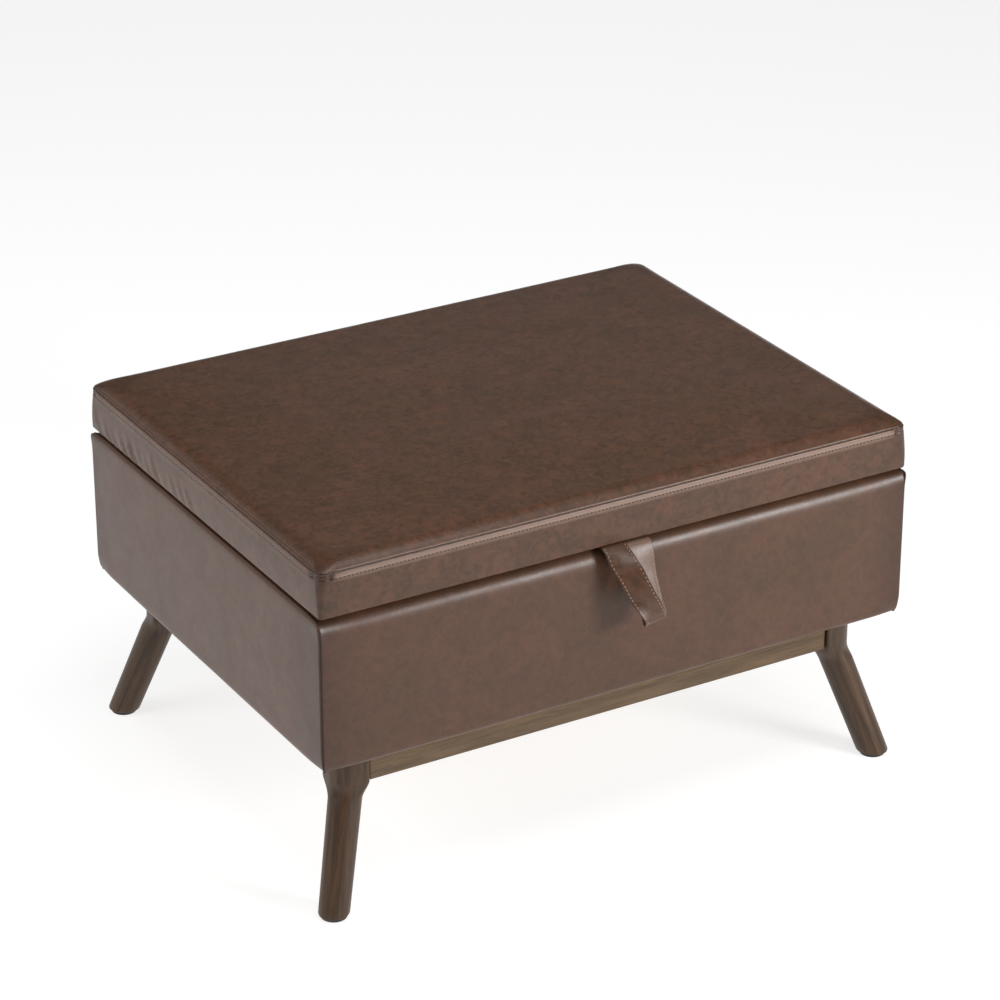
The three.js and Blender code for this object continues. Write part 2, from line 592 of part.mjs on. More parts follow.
function addStay(name, side) {
  const plateOuter = CAVITY_X - FIT_GAP;
  const plateInner = plateOuter - STAY_THICK;
  const lowerOuter = plateInner - FIT_GAP;
  const lowerInner = lowerOuter - STAY_THICK;
  const upperOuter = lowerInner - FIT_GAP;
  const upperInner = upperOuter - STAY_THICK;

  const bracketOutline = new THREE.Shape();
  bracketOutline.moveTo(BOX_PIVOT.x - BRACKET_HALF, BOX_PIVOT.y - BRACKET_DROP);
  bracketOutline.lineTo(BOX_PIVOT.x + BRACKET_HALF, BOX_PIVOT.y - BRACKET_DROP);
  bracketOutline.lineTo(BOX_PIVOT.x + BRACKET_HALF, BOX_PIVOT.y);
  bracketOutline.absarc(BOX_PIVOT.x, BOX_PIVOT.y, BRACKET_HALF, 0, Math.PI, false);
  const bracket = plateAcrossX(bracketOutline, side * plateInner, side * plateOuter);
  const screws = SCREW_DROPS.map((drop) => rodAlongX(
    SCREW_RADIUS, side * (plateInner + STAY_THICK / 4), side * (plateInner - SCREW_HEAD),
    BOX_PIVOT.x, BOX_PIVOT.y - drop, 12,
  ));
  const boxRivet = rivet(side, plateInner, STAY_THICK, BOX_PIVOT);
  add(`stay_${name}_box_bracket`, joined(bracket, ...screws, ...boxRivet), steel);

  const lowerPlate = plateAcrossX(
    linkOutline(BOX_PIVOT, ELBOW, [BOX_PIVOT]), side * lowerInner, side * lowerOuter,
  );
  const elbowRivet = rivet(side, lowerInner, STAY_THICK, ELBOW);
  add(`stay_${name}_lower_arm`, joined(lowerPlate, ...elbowRivet), steel);

  const upper = linkOutline(LID_PIVOT, ELBOW, [LID_PIVOT, ELBOW]);
  add(`stay_${name}_upper_arm`, plateAcrossX(upper, side * upperInner, side * upperOuter), steel);

  const ear = new THREE.Shape();
  ear.moveTo(LID_PIVOT.x + EAR_HALF, LID_BOTTOM);
  ear.lineTo(LID_PIVOT.x - EAR_HALF, LID_BOTTOM);
  ear.absarc(LID_PIVOT.x, LID_PIVOT.y, STAY_HALF_WIDTH, Math.PI, 2 * Math.PI, false);
  const earPlate = plateAcrossX(ear, side * lowerInner, side * lowerOuter);
  const flangeX = [side * lowerOuter, side * (lowerOuter - FLANGE_WIDTH)].sort((a, b) => a - b);
  const flange = boxBetween(
    [flangeX[0], LID_PIVOT.x - FLANGE_HALF, LID_BOTTOM - FLANGE_THICK],
    [flangeX[1], LID_PIVOT.x + FLANGE_HALF, LID_BOTTOM],
  );
  const lidRivet = rivet(side, lowerInner, STAY_THICK, LID_PIVOT);
  add(`stay_${name}_lid_bracket`, joined(earPlate, flange, ...lidRivet), steel);
}

// ---- the pull loop and its tail under the lid, and the rubber buffers on the rim
// Centre line of the loop from the front strand's top, round the fold, up the back strand.
// Each entry is sideways position, distance out from the box front, and height under the gap.
const STRAP_LINE = [
  [-17.5, 3.5, 1.3], [-17, 12, 6], [-15.5, 25, 17], [-11.5, 36, 29], [-3, 46, 53],
  [8, 51.2, 74], [14, 51.6, 86], [15.5, 49, 90.5], [16, 45.5, 88], [16.5, 39, 75],
  [17, 29, 58], [17.5, 18, 38], [18, 9, 15], [18, 5.3, 6],
];

function strapLoop() {
  const front = -HALF_Y;
  const top = HINGE_Z;
  const line = new THREE.CatmullRomCurve3(STRAP_LINE.map(
    ([x, out, down]) => new THREE.Vector3(x, front - out, top - down),
  ));
  const steps = 30;
  const rings = [];
  for (let i = 0; i <= steps; i += 1) {
    const centre = line.getPointAt(i / steps);
    const tangent = line.getTangentAt(i / steps);
    const normal = new THREE.Vector3(0, -tangent.z, tangent.y).normalize();
    const corner = (across, proud) => centre.clone()
      .addScaledVector(new THREE.Vector3(1, 0, 0), across * STRAP_WIDTH / 2)
      .addScaledVector(normal, proud * STRAP_THICK / 2);
    rings.push([corner(-1, -1), corner(-1, 1), corner(1, 1), corner(1, -1)]);
  }
  return loft(rings);
}

function addStrap() {
  add('pull_strap', strapLoop(), leather);
  const [frontEnd, rearEnd] = [STRAP_LINE[0][0], STRAP_LINE.at(-1)[0]];
  const tail = boxBetween(
    [frontEnd - STRAP_WIDTH / 2, -HALF_Y + 0.5, LID_BOTTOM - FIT_GAP - STRAP_THICK],
    [rearEnd + STRAP_WIDTH / 2, -HALF_Y + WALL_DEPTH, LID_BOTTOM - FIT_GAP],
  );
  add('pull_strap_tail', tail, leather);
}

function addBuffer(name, side) {
  const height = LID_GAP - 2 * FIT_GAP;
  const buffer = new THREE.CylinderGeometry(BUFFER_RADIUS - 1, BUFFER_RADIUS, height, 20);
  buffer.rotateX(Math.PI / 2);
  const mesh = add(`rim_buffer_${name}`, buffer, rubber);
  mesh.position.set(side * (HALF_X - BUFFER_FROM_SIDE), BUFFER_FROM_FRONT - HALF_Y, BODY_TOP + LID_GAP / 2);
}

// ---------------------------------------------------------------- build
CORNERS.forEach(addCorner);
addRails();
addBoxBoards();
addBoxPadding();
addStrips('box_cover', bodyCoverProfile(), HALF_X, HALF_Y, leather);
addLining();
addLid();
for (const [name, side] of [['left', -1], ['right', 1]]) {
  addHinge(name, side * HINGE_X);
  addStay(name, side);
  addBuffer(name, side);
}
addStrap();

export default ottoman;
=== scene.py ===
"""Looks of the storage ottoman: upholstery, wood, metal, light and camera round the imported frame.

Metres, in the row frame: X along the long side, the front faces -Y, Z up.
"""

import math
import random

import bpy
import numpy as np
from mathutils import Matrix, Vector, kdtree, noise


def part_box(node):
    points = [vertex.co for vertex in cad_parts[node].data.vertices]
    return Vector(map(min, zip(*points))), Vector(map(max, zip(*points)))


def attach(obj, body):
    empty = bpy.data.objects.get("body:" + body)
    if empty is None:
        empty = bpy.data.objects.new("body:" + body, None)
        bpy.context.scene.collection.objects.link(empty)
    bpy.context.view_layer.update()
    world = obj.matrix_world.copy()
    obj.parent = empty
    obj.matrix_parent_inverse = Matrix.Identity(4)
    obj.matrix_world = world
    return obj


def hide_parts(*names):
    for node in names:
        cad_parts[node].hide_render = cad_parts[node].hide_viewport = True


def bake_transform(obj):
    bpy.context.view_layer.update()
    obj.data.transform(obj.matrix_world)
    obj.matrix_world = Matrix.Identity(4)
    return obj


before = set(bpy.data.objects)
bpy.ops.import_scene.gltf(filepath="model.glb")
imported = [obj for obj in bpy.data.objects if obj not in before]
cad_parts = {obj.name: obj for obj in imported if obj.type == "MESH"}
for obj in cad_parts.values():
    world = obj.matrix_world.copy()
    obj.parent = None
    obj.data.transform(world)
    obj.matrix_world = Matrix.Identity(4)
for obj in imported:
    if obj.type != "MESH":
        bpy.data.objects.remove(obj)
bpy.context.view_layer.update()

MM = 0.001
SIDES = ("front", "right", "back", "left")
CORNERS = (("front_left", -1, -1), ("front_right", 1, -1), ("back_left", -1, 1), ("back_right", 1, 1))


def span(*names):
    """Lowest and highest corner of several CAD nodes together."""
    lows, highs = zip(*(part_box(name) for name in names))
    return np.min(lows, axis=0), np.max(highs, axis=0)


BOX_LOW, BOX_HIGH = span(*(f"box_cover_{side}" for side in SIDES))
LID_LOW, LID_HIGH = span(*(f"lid_band_{side}" for side in SIDES))
LID_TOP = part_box("lid_top_cover")[1].z
CENTRE = np.array([0.0, (BOX_LOW[1] + BOX_HIGH[1]) / 2])
BOX_HALF = (BOX_HIGH - BOX_LOW)[:2] / 2
LID_HALF = (LID_HIGH - LID_LOW)[:2] / 2 + 1 * MM
BOX_BOTTOM, BOX_TOP = BOX_LOW[2], BOX_HIGH[2]
SEAM_RISE = 5 * MM        # the visible seam sits this far up the cushion's rounded edge
LID_BOTTOM, LID_SEAM = LID_LOW[2], LID_HIGH[2] + SEAM_RISE
GAP_MIDDLE = (BOX_TOP + LID_BOTTOM) / 2

# Lid cushion
LID_CORNER = 5 * MM       # rounding of the lid in plan, at its bottom
LID_SEAM_CORNER = 12 * MM  # and at its seam
LID_EDGE_DEEP = 24 * MM   # the cushion's rounded top edge, inwards
LID_EDGE_TALL = 11 * MM   # and upwards
LID_EDGE_START = math.radians(46)
LID_CROWN = LID_TOP - LID_SEAM - LID_EDGE_TALL
LID_TUCK = 3 * MM         # rounding where the leather turns under the board
TURN_UNDER = 30 * MM      # and how far it goes in
STITCH_DROP = 8 * MM      # topstitch below the seam
STITCH_PITCH = 5.5 * MM
SKIN = 1.3 * MM           # leather
FORM_VOXEL = 6 * MM       # grid of the coarse copy that the cloth simulation fills with air
FILL_FRAMES = 20

# Box upholstery
BOX_CORNER = 5 * MM
ROLL_DEEP = 17 * MM       # the rolled top edge, inwards
ROLL_TALL = 26 * MM       # and downwards
SIDE_TIGHT = 0.7          # share by which it is smaller over the side boards
TIGHT_FADE = 70 * MM      # below the top, where the rows run level again
FOOT_DEEP = 4 * MM        # the rounded bottom edge, inwards
FOOT_TALL = 9 * MM        # and upwards
BOX_UNDER = 36 * MM       # leather turned under the box
FLARE = 2 * MM            # folded leather stands out at the top corners
LEAST_CORNER = 0.6 * MM   # rounding left at a corner that is folded tight

# Splayed legs, as in the CAD
BLOCK = 45 * MM
BLOCK_OUTER_RADIUS = 28 * MM
BLOCK_EDGE_RADIUS = 3 * MM
LEG_SLOPE = 0.294
LEG_TOP_RADIUS = 21.6 * MM
LEG_FOOT_RADIUS = 20 * MM
SHOULDER_TOP = 167 * MM
SHOULDER_BOTTOM = 138 * MM


# ---------------------------------------------------------------- mesh helpers
def smoothstep(x):
    """0 below 0, 1 above 1 and a smooth S between."""
    x = np.clip(x, 0, 1)
    return x * x * (3 - 2 * x)


def make_object(name, points, faces, smooth=True):
    mesh = bpy.data.meshes.new(name)
    mesh.from_pydata([tuple(p) for p in points], [], [tuple(f) for f in faces])
    mesh.polygons.foreach_set("use_smooth", [smooth] * len(mesh.polygons))
    mesh.update()
    made = bpy.data.objects.new(name, mesh)
    bpy.context.scene.collection.objects.link(made)
    return made


def apply_modifiers(piece):
    """Swaps the piece's mesh for the one its modifiers make."""
    depsgraph = bpy.context.evaluated_depsgraph_get()
    made = bpy.data.meshes.new_from_object(piece.evaluated_get(depsgraph))
    piece.modifiers.clear()
    piece.data = made
    piece.data.polygons.foreach_set("use_smooth", [True] * len(made.polygons))
    return piece


def thicken(piece, thickness, offset=-1):
    solid = piece.modifiers.new("thickness", "SOLIDIFY")
    solid.thickness = thickness
    solid.offset = offset
    return apply_modifiers(piece)


def coordinates(piece):
    values = np.zeros(len(piece.data.vertices) * 3)
    piece.data.vertices.foreach_get("co", values)
    return values.reshape(-1, 3)


def add_amount(piece, name, values):
    attribute = piece.data.attributes.new(name, "FLOAT", "POINT")
    attribute.data.foreach_set("value", np.asarray(values, np.float32))


def add_vector_attribute(piece, name, values):
    attribute = piece.data.attributes.new(name, "FLOAT_VECTOR", "POINT")
    attribute.data.foreach_set("vector", np.asarray(values, np.float32).ravel())


class Loop:
    """A walk round a rounded rectangle, counter-clockwise from the middle of the front left corner.

    Every point is a corner or edge direction (base) and an outward direction (out), so the same
    walk serves any size, inset and corner radius.
    """

    def __init__(self, steps_x, steps_y, arc_steps):
        base, out, side, along = [], [], [], []
        half = arc_steps // 2
        for index in range(4):
            heading = (index - 1) * math.pi / 2
            normal = np.round([math.cos(heading), math.sin(heading)])
            tangent = np.array([-normal[1], normal[0]])
            steps = steps_x if index % 2 == 0 else steps_y
            walk = [(-1, (j / half - 1) * math.pi / 4) for j in range(half)]
            walk += [(2 * j / steps - 1, 0) for j in range(steps + 1)]
            walk += [(1, j / half * math.pi / 4) for j in range(1, half)]
            for share, turn in walk:
                base.append(normal + share * tangent)
                out.append([math.cos(heading + turn), math.sin(heading + turn)])
                side.append(index)
                along.append(share)
        self.base, self.out = np.array(base), np.array(out)
        self.side, self.along = np.array(side), np.array(along)
        self.count = len(base)
        self.across = (steps_x + arc_steps, steps_y + arc_steps)

    def ring(self, half, inset, z, radius):
        flat = self.base * (half - inset - radius) + self.out * radius + CENTRE
        return np.column_stack([flat, np.full(self.count, z)])

    def from_corner(self, half, radius):
        """Distance along the outline from the middle of the nearest corner arc."""
        length = np.where(self.side % 2 == 0, half[0], half[1]) - radius
        straight = (1 - np.abs(self.along)) * length
        heading = np.arctan2(self.out[:, 1], self.out[:, 0])
        turn = np.abs((heading + math.pi / 4) % (math.pi / 2) - math.pi / 4)
        return straight + (math.pi / 4 - turn) * radius


def tightened(radius, inset):
    """Corner radius of a ring set in from an outline with the given radius."""
    return max(radius - inset, LEAST_CORNER)


def ring_faces(rows, count):
    """Four-sided faces between each ring of points and the next."""
    faces = []
    for row in range(rows - 1):
        for i in range(count):
            j = (i + 1) % count
            a, b = row * count, (row + 1) * count
            faces.append((a + i, a + j, b + j, b + i))
    return faces


def grid_cap(loop, ring, first, start):
    """Points and faces of a grid inside a ring.

    The ring's first vertex has index first, and the grid's own points are numbered from start.
    """
    a, b = loop.across
    front = ring[: a + 1]
    right = ring[a: a + b + 1]
    back = ring[a + b: 2 * a + b + 1][::-1]
    left = ring[np.r_[2 * a + b: loop.count, 0]][::-1]
    u = np.linspace(0, 1, a + 1)[:, None, None]
    v = np.linspace(0, 1, b + 1)[None, :, None]
    patch = (1 - v) * front[:, None] + v * back[:, None] + (1 - u) * left[None] + u * right[None]
    patch -= (1 - v) * ((1 - u) * front[0] + u * front[-1]) + v * ((1 - u) * back[0] + u * back[-1])
    index = np.full((a + 1, b + 1), -1)
    index[:, 0] = first + np.arange(a + 1)
    index[a, :] = first + a + np.arange(b + 1)
    index[::-1, b] = first + a + b + np.arange(a + 1)
    index[0, ::-1] = first + np.r_[2 * a + b: loop.count, 0]
    index[1:a, 1:b] = start + np.arange((a - 1) * (b - 1)).reshape(a - 1, b - 1)
    faces = np.stack([index[:-1, :-1], index[1:, :-1], index[1:, 1:], index[:-1, 1:]], axis=-1)
    return patch[1:a, 1:b].reshape(-1, 3), faces.reshape(-1, 4).tolist()


def low_noise(points, scale, seed, octaves=2):
    """Smooth noise from -1 to 1 at points, with features about 1/scale across."""
    shift = Vector((seed * 3.1, seed * 1.7, seed * 2.3))
    return np.array([
        noise.fractal(Vector(p) * scale + shift, 0.6, 2.0, octaves) for p in points
    ])


def bump_at(value, centre, width):
    """A smooth hump, 1 at the centre and a third of that one width away."""
    return np.exp(-((value - centre) / width) ** 2)


# ---------------------------------------------------------------- materials
class Shader:
    """A material with a few shorthands for its nodes."""

    def __init__(self, name, **sockets):
        self.material = bpy.data.materials.new(name)
        self.material.use_nodes = True
        self.tree = self.material.node_tree
        self.surface = self.tree.nodes["Principled BSDF"]
        for socket, value in sockets.items():
            self.surface.inputs[socket.replace("_", " ")].default_value = value
        self.place = self.add("ShaderNodeTexCoord").outputs["Object"]

    def add(self, kind, inputs=None, **settings):
        made = self.tree.nodes.new(kind)
        for key, value in settings.items():
            setattr(made, key, value)
        for key, value in (inputs or {}).items():
            if isinstance(value, bpy.types.NodeSocket):
                self.tree.links.new(value, made.inputs[key])
            else:
                made.inputs[key].default_value = value
        return made

    def attribute(self, name):
        return self.add("ShaderNodeAttribute", attribute_name=name).outputs["Vector"]

    def amount(self, name):
        return self.add("ShaderNodeAttribute", attribute_name=name).outputs["Fac"]

    def flipped(self, value):
        return self.add("ShaderNodeMath", {0: value, 1: -1.0}, operation="MULTIPLY").outputs[0]

    def stretched(self, place, scale, rotation=(0, 0, 0)):
        inputs = {"Vector": place, "Scale": scale, "Rotation": rotation}
        return self.add("ShaderNodeMapping", inputs).outputs["Vector"]

    def noise(self, scale, detail=3, distortion=0.0, place=None, roughness=0.55):
        inputs = {
            "Vector": place or self.place, "Scale": scale, "Detail": detail,
            "Distortion": distortion, "Roughness": roughness,
        }
        return self.add("ShaderNodeTexNoise", inputs).outputs["Fac"]

    def cells(self, scale):
        inputs = {"Vector": self.place, "Scale": scale}
        made = self.add("ShaderNodeTexVoronoi", inputs, feature="DISTANCE_TO_EDGE")
        return made.outputs["Distance"]

    def ramp(self, factor, stops):
        made = self.add("ShaderNodeValToRGB", {"Fac": factor})
        while len(made.color_ramp.elements) < len(stops):
            made.color_ramp.elements.new(0.5)
        for element, (position, colour) in zip(made.color_ramp.elements, stops):
            element.position = position
            element.color = (*colour, 1)
        return made.outputs["Color"]

    def blend(self, factor, a, b, mode="MIX"):
        made = self.add("ShaderNodeMix", data_type="RGBA", blend_type=mode)
        for socket, value in ((made.inputs[0], factor), (made.inputs[6], a), (made.inputs[7], b)):
            if isinstance(value, bpy.types.NodeSocket):
                self.tree.links.new(value, socket)
            else:
                socket.default_value = value
        return made.outputs[2]

    def between(self, value, low, high):
        """A 0 to 1 value spread over low to high."""
        inputs = {"Value": value, "To Min": low, "To Max": high}
        return self.add("ShaderNodeMapRange", inputs).outputs["Result"]

    def sum(self, a, b):
        return self.add("ShaderNodeMath", {0: a, 1: b}, operation="ADD").outputs[0]

    def bump(self, height, distance, strength=1.0, below=None):
        inputs = {"Height": height, "Distance": distance, "Strength": strength}
        if below is not None:
            inputs["Normal"] = below
        return self.add("ShaderNodeBump", inputs).outputs["Normal"]

    def finish(self, colour=None, roughness=None, normal=None):
        for name, value in (("Base Color", colour), ("Roughness", roughness), ("Normal", normal)):
            if value is not None:
                self.tree.links.new(value, self.surface.inputs[name])
        return self.material


def leather_material(name, tone=1.0, place_attribute=None, contrast=1.0):
    """Coated leather: mottled browns, with painted shade in its creases and a painted highlight where it
    stands proud.
    """
    s = Shader(name, Specular_IOR_Level=0.38)
    if place_attribute:
        s.place = s.attribute(place_attribute)
    browns = [
        (0.30, (0.072, 0.0358, 0.0185)), (0.46, (0.079, 0.0375, 0.0200)),
        (0.57, (0.086, 0.0390, 0.0220)), (0.72, (0.092, 0.0440, 0.0253)),
    ]
    patches = s.ramp(
        s.noise(10, detail=6, distortion=0.5, roughness=0.62),
        [(stop, tuple(tone * part for part in brown)) for stop, brown in browns],
    )
    tints = [(0.34, (-0.25, -0.23, -0.23)), (0.50, (0, 0, 0)), (0.68, (0.28, 0.20, 0.16))]
    marks = s.ramp(
        s.noise(75, detail=4, distortion=1.2),
        [(stop, tuple(1 + contrast * part for part in tint)) for stop, tint in tints],
    )
    mottled = s.blend(1.0, patches, marks, "MULTIPLY")
    proud = s.amount("proud")
    # Painted highlight: the leather is lightened towards a pale grey brown where it stands proud.
    painted_highlight = s.blend(s.between(proud, 0.0, 0.75), mottled, (0.27, 0.18, 0.14, 1))
    # Painted shade: the leather is darkened towards near black in its grooves and creases.
    colour = s.blend(s.between(s.flipped(proud), 0.0, 0.85), painted_highlight, (0.026, 0.011, 0.006, 1))
    grain = s.bump(s.cells(700), 0.10 * MM, 0.3)
    creases = s.bump(s.noise(140, detail=4, distortion=1.2), 0.5 * MM, 0.28, grain)
    normal = s.bump(s.noise(17, detail=2), 1.6 * MM, 0.35, creases)
    roughness = s.between(s.noise(30, detail=4), 0.28, 0.44)
    return s.finish(colour, roughness, normal)


def wood_material(name, dark, light, stretch, place_attribute=None, roughness=(0.34, 0.5)):
    """Stained wood whose grain runs along the axis with the smallest stretch."""
    s = Shader(name, Specular_IOR_Level=0.3)
    place = s.attribute(place_attribute) if place_attribute else s.place
    grained = s.stretched(place, stretch)
    bands = s.noise(1.0, detail=6, distortion=1.5, place=grained, roughness=0.6)
    fibres = s.noise(5.5, detail=5, distortion=0.3, place=grained, roughness=0.7)
    middle = tuple((a + b) / 2 for a, b in zip(dark, light))
    tone = s.ramp(bands, [(0.30, dark), (0.50, middle), (0.70, light)])
    streaks = s.ramp(fibres, [(0.34, (0.72, 0.70, 0.68)), (0.55, (1, 1, 1)), (0.8, (1.1, 1.08, 1.05))])
    colour = s.blend(1.0, tone, streaks, "MULTIPLY")
    normal = s.bump(fibres, 0.25 * MM, 0.4)
    return s.finish(colour, s.between(bands, *roughness), normal)


def cloth_material(name, dark, light, threads=900):
    s = Shader(name, Specular_IOR_Level=0.25)
    waves = []
    for turn in (0, math.pi / 2):
        place = s.stretched(s.place, (1, 1, 1), (turn / 2, turn / 2, turn))
        inputs = {"Vector": place, "Scale": threads / 6, "Distortion": 0.3, "Detail": 1.0}
        waves.append(s.add("ShaderNodeTexWave", inputs).outputs["Fac"])
    weave = s.sum(waves[0], waves[1])
    colour = s.blend(s.noise(12, detail=5), (*dark, 1), (*light, 1))
    shaded = s.blend(s.between(weave, 0.0, 0.25), colour, (*dark, 1))
    return s.finish(shaded, s.between(s.noise(40), 0.8, 0.95), s.bump(weave, 0.25 * MM, 0.5))


def metal_material(name, tone, roughness, brushed=(60, 900, 900)):
    s = Shader(name, Metallic=1.0)
    lines = s.noise(1.0, detail=3, place=s.stretched(s.place, brushed))
    colour = s.ramp(s.noise(40, detail=4), [(0.3, tuple(c * 0.8 for c in tone)), (0.7, tone)])
    return s.finish(colour, s.between(lines, *roughness), s.bump(lines, 0.05 * MM, 0.4))


def moulded_material(name, tone, roughness):
    s = Shader(name, Specular_IOR_Level=0.4)
    colour = s.ramp(s.noise(80, detail=4), [(0.3, tuple(c * 0.8 for c in tone)), (0.7, tone)])
    return s.finish(colour, s.between(s.noise(60), *roughness), s.bump(s.noise(1800), 0.08 * MM, 0.4))


def thread_material(name, tone):
    s = Shader(name, Specular_IOR_Level=0.3)
    strands = s.noise(2500, detail=2)
    colour = s.ramp(strands, [(0.35, tuple(c * 0.65 for c in tone)), (0.65, tone)])
    return s.finish(colour, s.between(strands, 0.55, 0.75), s.bump(strands, 0.1 * MM, 0.6))


LEATHER = leather_material("leather")
BOX_LEATHER = leather_material("box_leather", contrast=0.55)
STRAP_LEATHER = leather_material("strap_leather", 0.95, "along_strap")
LEG_BROWNS = (0.034, 0.020, 0.012), (0.100, 0.056, 0.030)
RAIL_BROWNS = (0.080, 0.050, 0.024), (0.150, 0.092, 0.048)
PLYWOOD_BROWNS = (0.30, 0.20, 0.11), (0.52, 0.38, 0.22)
LEG_WOOD = wood_material("leg_walnut", *LEG_BROWNS, (60, 60, 4.5), "leg_grain")
RAIL_WOOD = wood_material("rail_walnut", *RAIL_BROWNS, (4.5, 60, 60))
SIDE_RAIL_WOOD = wood_material("side_rail_walnut", *RAIL_BROWNS, (60, 4.5, 60))
PLYWOOD = wood_material("plywood", *PLYWOOD_BROWNS, (14, 60, 60), roughness=(0.6, 0.8))
LINING = cloth_material("lining_cloth", (0.012, 0.011, 0.011), (0.030, 0.028, 0.027))
STEEL = metal_material("steel", (0.55, 0.55, 0.54), (0.28, 0.45))
RUBBER = moulded_material("rubber", (0.012, 0.012, 0.014), (0.7, 0.9))
PLASTIC = moulded_material("plastic", (0.015, 0.013, 0.012), (0.4, 0.6))
# The topstitch thread is painted dark, standing in for the shade in its stitch holes.
LID_THREAD_PAINTED_SHADE = thread_material("lid_thread_painted_shade", (0.045, 0.022, 0.015))
STRAP_THREAD = thread_material("strap_thread", (0.48, 0.34, 0.27))


def dress(piece, material):
    piece.data.materials.clear()
    piece.data.materials.append(material)
    return piece


# ---------------------------------------------------------------- lid cushion
def arc_rows(from_inset, from_z, deep, tall, start, stop, steps):
    """Rows round an ellipse quarter whose centre is (from_inset, from_z)."""
    angles = np.linspace(start, stop, steps + 1)
    return [(from_inset - deep * math.cos(a), from_z + tall * math.sin(a)) for a in angles]


def lid_rows():
    """(inset, height) from the turned-under edge, up the side and over the top edge."""
    rows = [(TURN_UNDER, LID_BOTTOM), (TURN_UNDER * 0.6, LID_BOTTOM)]
    rows += arc_rows(LID_TUCK, LID_BOTTOM + LID_TUCK, LID_TUCK, LID_TUCK, -math.pi / 2, 0, 7)
    stitch = LID_SEAM - STITCH_DROP
    rows += [(0, z) for z in np.linspace(LID_BOTTOM + LID_TUCK, stitch - 2 * MM, 12)[1:]]
    rows += [(0, z) for z in np.linspace(stitch - 1.5 * MM, LID_SEAM, 18)]
    rows += edge_rows(24)[1:]
    rows += [(LID_EDGE_DEEP + d, LID_SEAM + LID_EDGE_TALL) for d in (2 * MM, 5 * MM)]
    return rows


def edge_rows(steps):
    """Rows from the seam over the cushion's top edge, which leaves the seam already leaning inwards."""
    start = math.sin(LID_EDGE_START)
    deep = LID_EDGE_DEEP / math.cos(LID_EDGE_START)
    tall = LID_EDGE_TALL / (1 - start)
    share = np.linspace(0, 1, steps + 1) ** 1.3
    angles = LID_EDGE_START + share * (math.pi / 2 - LID_EDGE_START)
    return [
        (LID_EDGE_DEEP - deep * math.cos(a), LID_SEAM + tall * (math.sin(a) - start))
        for a in angles
    ]


def lid_corner_radius(inset, z):
    """The corners open out towards the seam and above it, and close up where they tuck under."""
    if z > LID_SEAM:
        return LID_SEAM_CORNER + inset
    opened = smoothstep((z - LID_BOTTOM) / (LID_SEAM - LID_BOTTOM))
    return tightened(LID_CORNER + (LID_SEAM_CORNER - LID_CORNER) * opened, inset)


def lid_rings(loop, half, rows):
    return [loop.ring(half, inset, z, lid_corner_radius(inset, z)) for inset, z in rows]


def inflated_shift():
    """Moves of a coarse copy of the lid cushion as air fills it, with its lower part held."""
    loop = Loop(30, 24, 6)
    rows = [(TURN_UNDER, LID_BOTTOM), (0.5 * LID_TUCK, LID_BOTTOM), (0, LID_BOTTOM + LID_TUCK)]
    rows += [(0, LID_SEAM), *edge_rows(4)[1:]]
    rings = lid_rings(loop, LID_HALF - 1 * MM, rows)
    points = np.concatenate(rings)
    faces = ring_faces(len(rows), loop.count)
    top, top_faces = grid_cap(loop, rings[-1], (len(rows) - 1) * loop.count, len(points))
    points = np.concatenate([points, top])
    foot, foot_faces = grid_cap(loop, rings[0], 0, len(points))
    points = np.concatenate([points, foot])
    faces += top_faces + [face[::-1] for face in foot_faces]
    form = make_object("lid_form", points, faces)
    remesh = form.modifiers.new("remesh", "REMESH")
    remesh.mode = "VOXEL"
    remesh.voxel_size = FORM_VOXEL
    apply_modifiers(form)
    rest = coordinates(form)
    held = form.vertex_groups.new(name="held")
    held.add(np.flatnonzero(rest[:, 2] < LID_SEAM - STITCH_DROP).tolist(), 1.0, "REPLACE")
    cloth = form.modifiers.new("cloth", "CLOTH")
    cloth.settings.quality = 6
    cloth.settings.mass = 0.4
    cloth.settings.tension_stiffness = 40
    cloth.settings.compression_stiffness = 40
    cloth.settings.bending_stiffness = 8
    cloth.settings.use_pressure = True
    cloth.settings.uniform_pressure_force = 4
    cloth.settings.vertex_group_mass = "held"
    cloth.settings.effector_weights.gravity = 0
    for step in range(1, FILL_FRAMES + 1):
        bpy.context.scene.frame_set(step)
    apply_modifiers(form)
    shift = coordinates(form) - rest
    bpy.context.scene.frame_set(1)
    bpy.data.objects.remove(form)
    return rest, shift


def spread_shift(points, rest, shift, reach=14 * MM, neighbours=14):
    """The moves of the coarse copy, carried over smoothly to other points."""
    tree = kdtree.KDTree(len(rest))
    for index, place in enumerate(rest):
        tree.insert(place, index)
    tree.balance()
    carried = np.zeros_like(points)
    for index, place in enumerate(points):
        found = tree.find_n(place, neighbours)
        weights = np.array([math.exp(-(far / reach) ** 2) + 1e-9 for _, _, far in found])
        carried[index] = weights @ shift[[near for _, near, _ in found]] / weights.sum()
    return carried


def lid_seam_relief(below, straight):
    """How far the leather stands out round the seam and the stitched strip under it."""
    relief = -1.7 * MM * bump_at(below, 0, 0.6 * MM)
    relief += -0.35 * MM * bump_at(below, -3.0 * MM, 0.5 * MM) * straight
    relief += 0.8 * MM * bump_at(below, -1.6 * MM, 0.8 * MM) * straight
    rise = smoothstep((below - 0.4 * MM) / (1.4 * MM)) * (0.5 + np.clip(below / (6.5 * MM), 0, 1))
    relief += 1.1 * MM * rise * smoothstep((STITCH_DROP + 2 * MM - below) / (2.4 * MM)) * straight
    relief += -0.5 * MM * bump_at(below, STITCH_DROP, 0.7 * MM) * straight
    relief += 1.1 * MM * bump_at(below, STITCH_DROP + 2.6 * MM, 1.0 * MM) * straight
    return relief


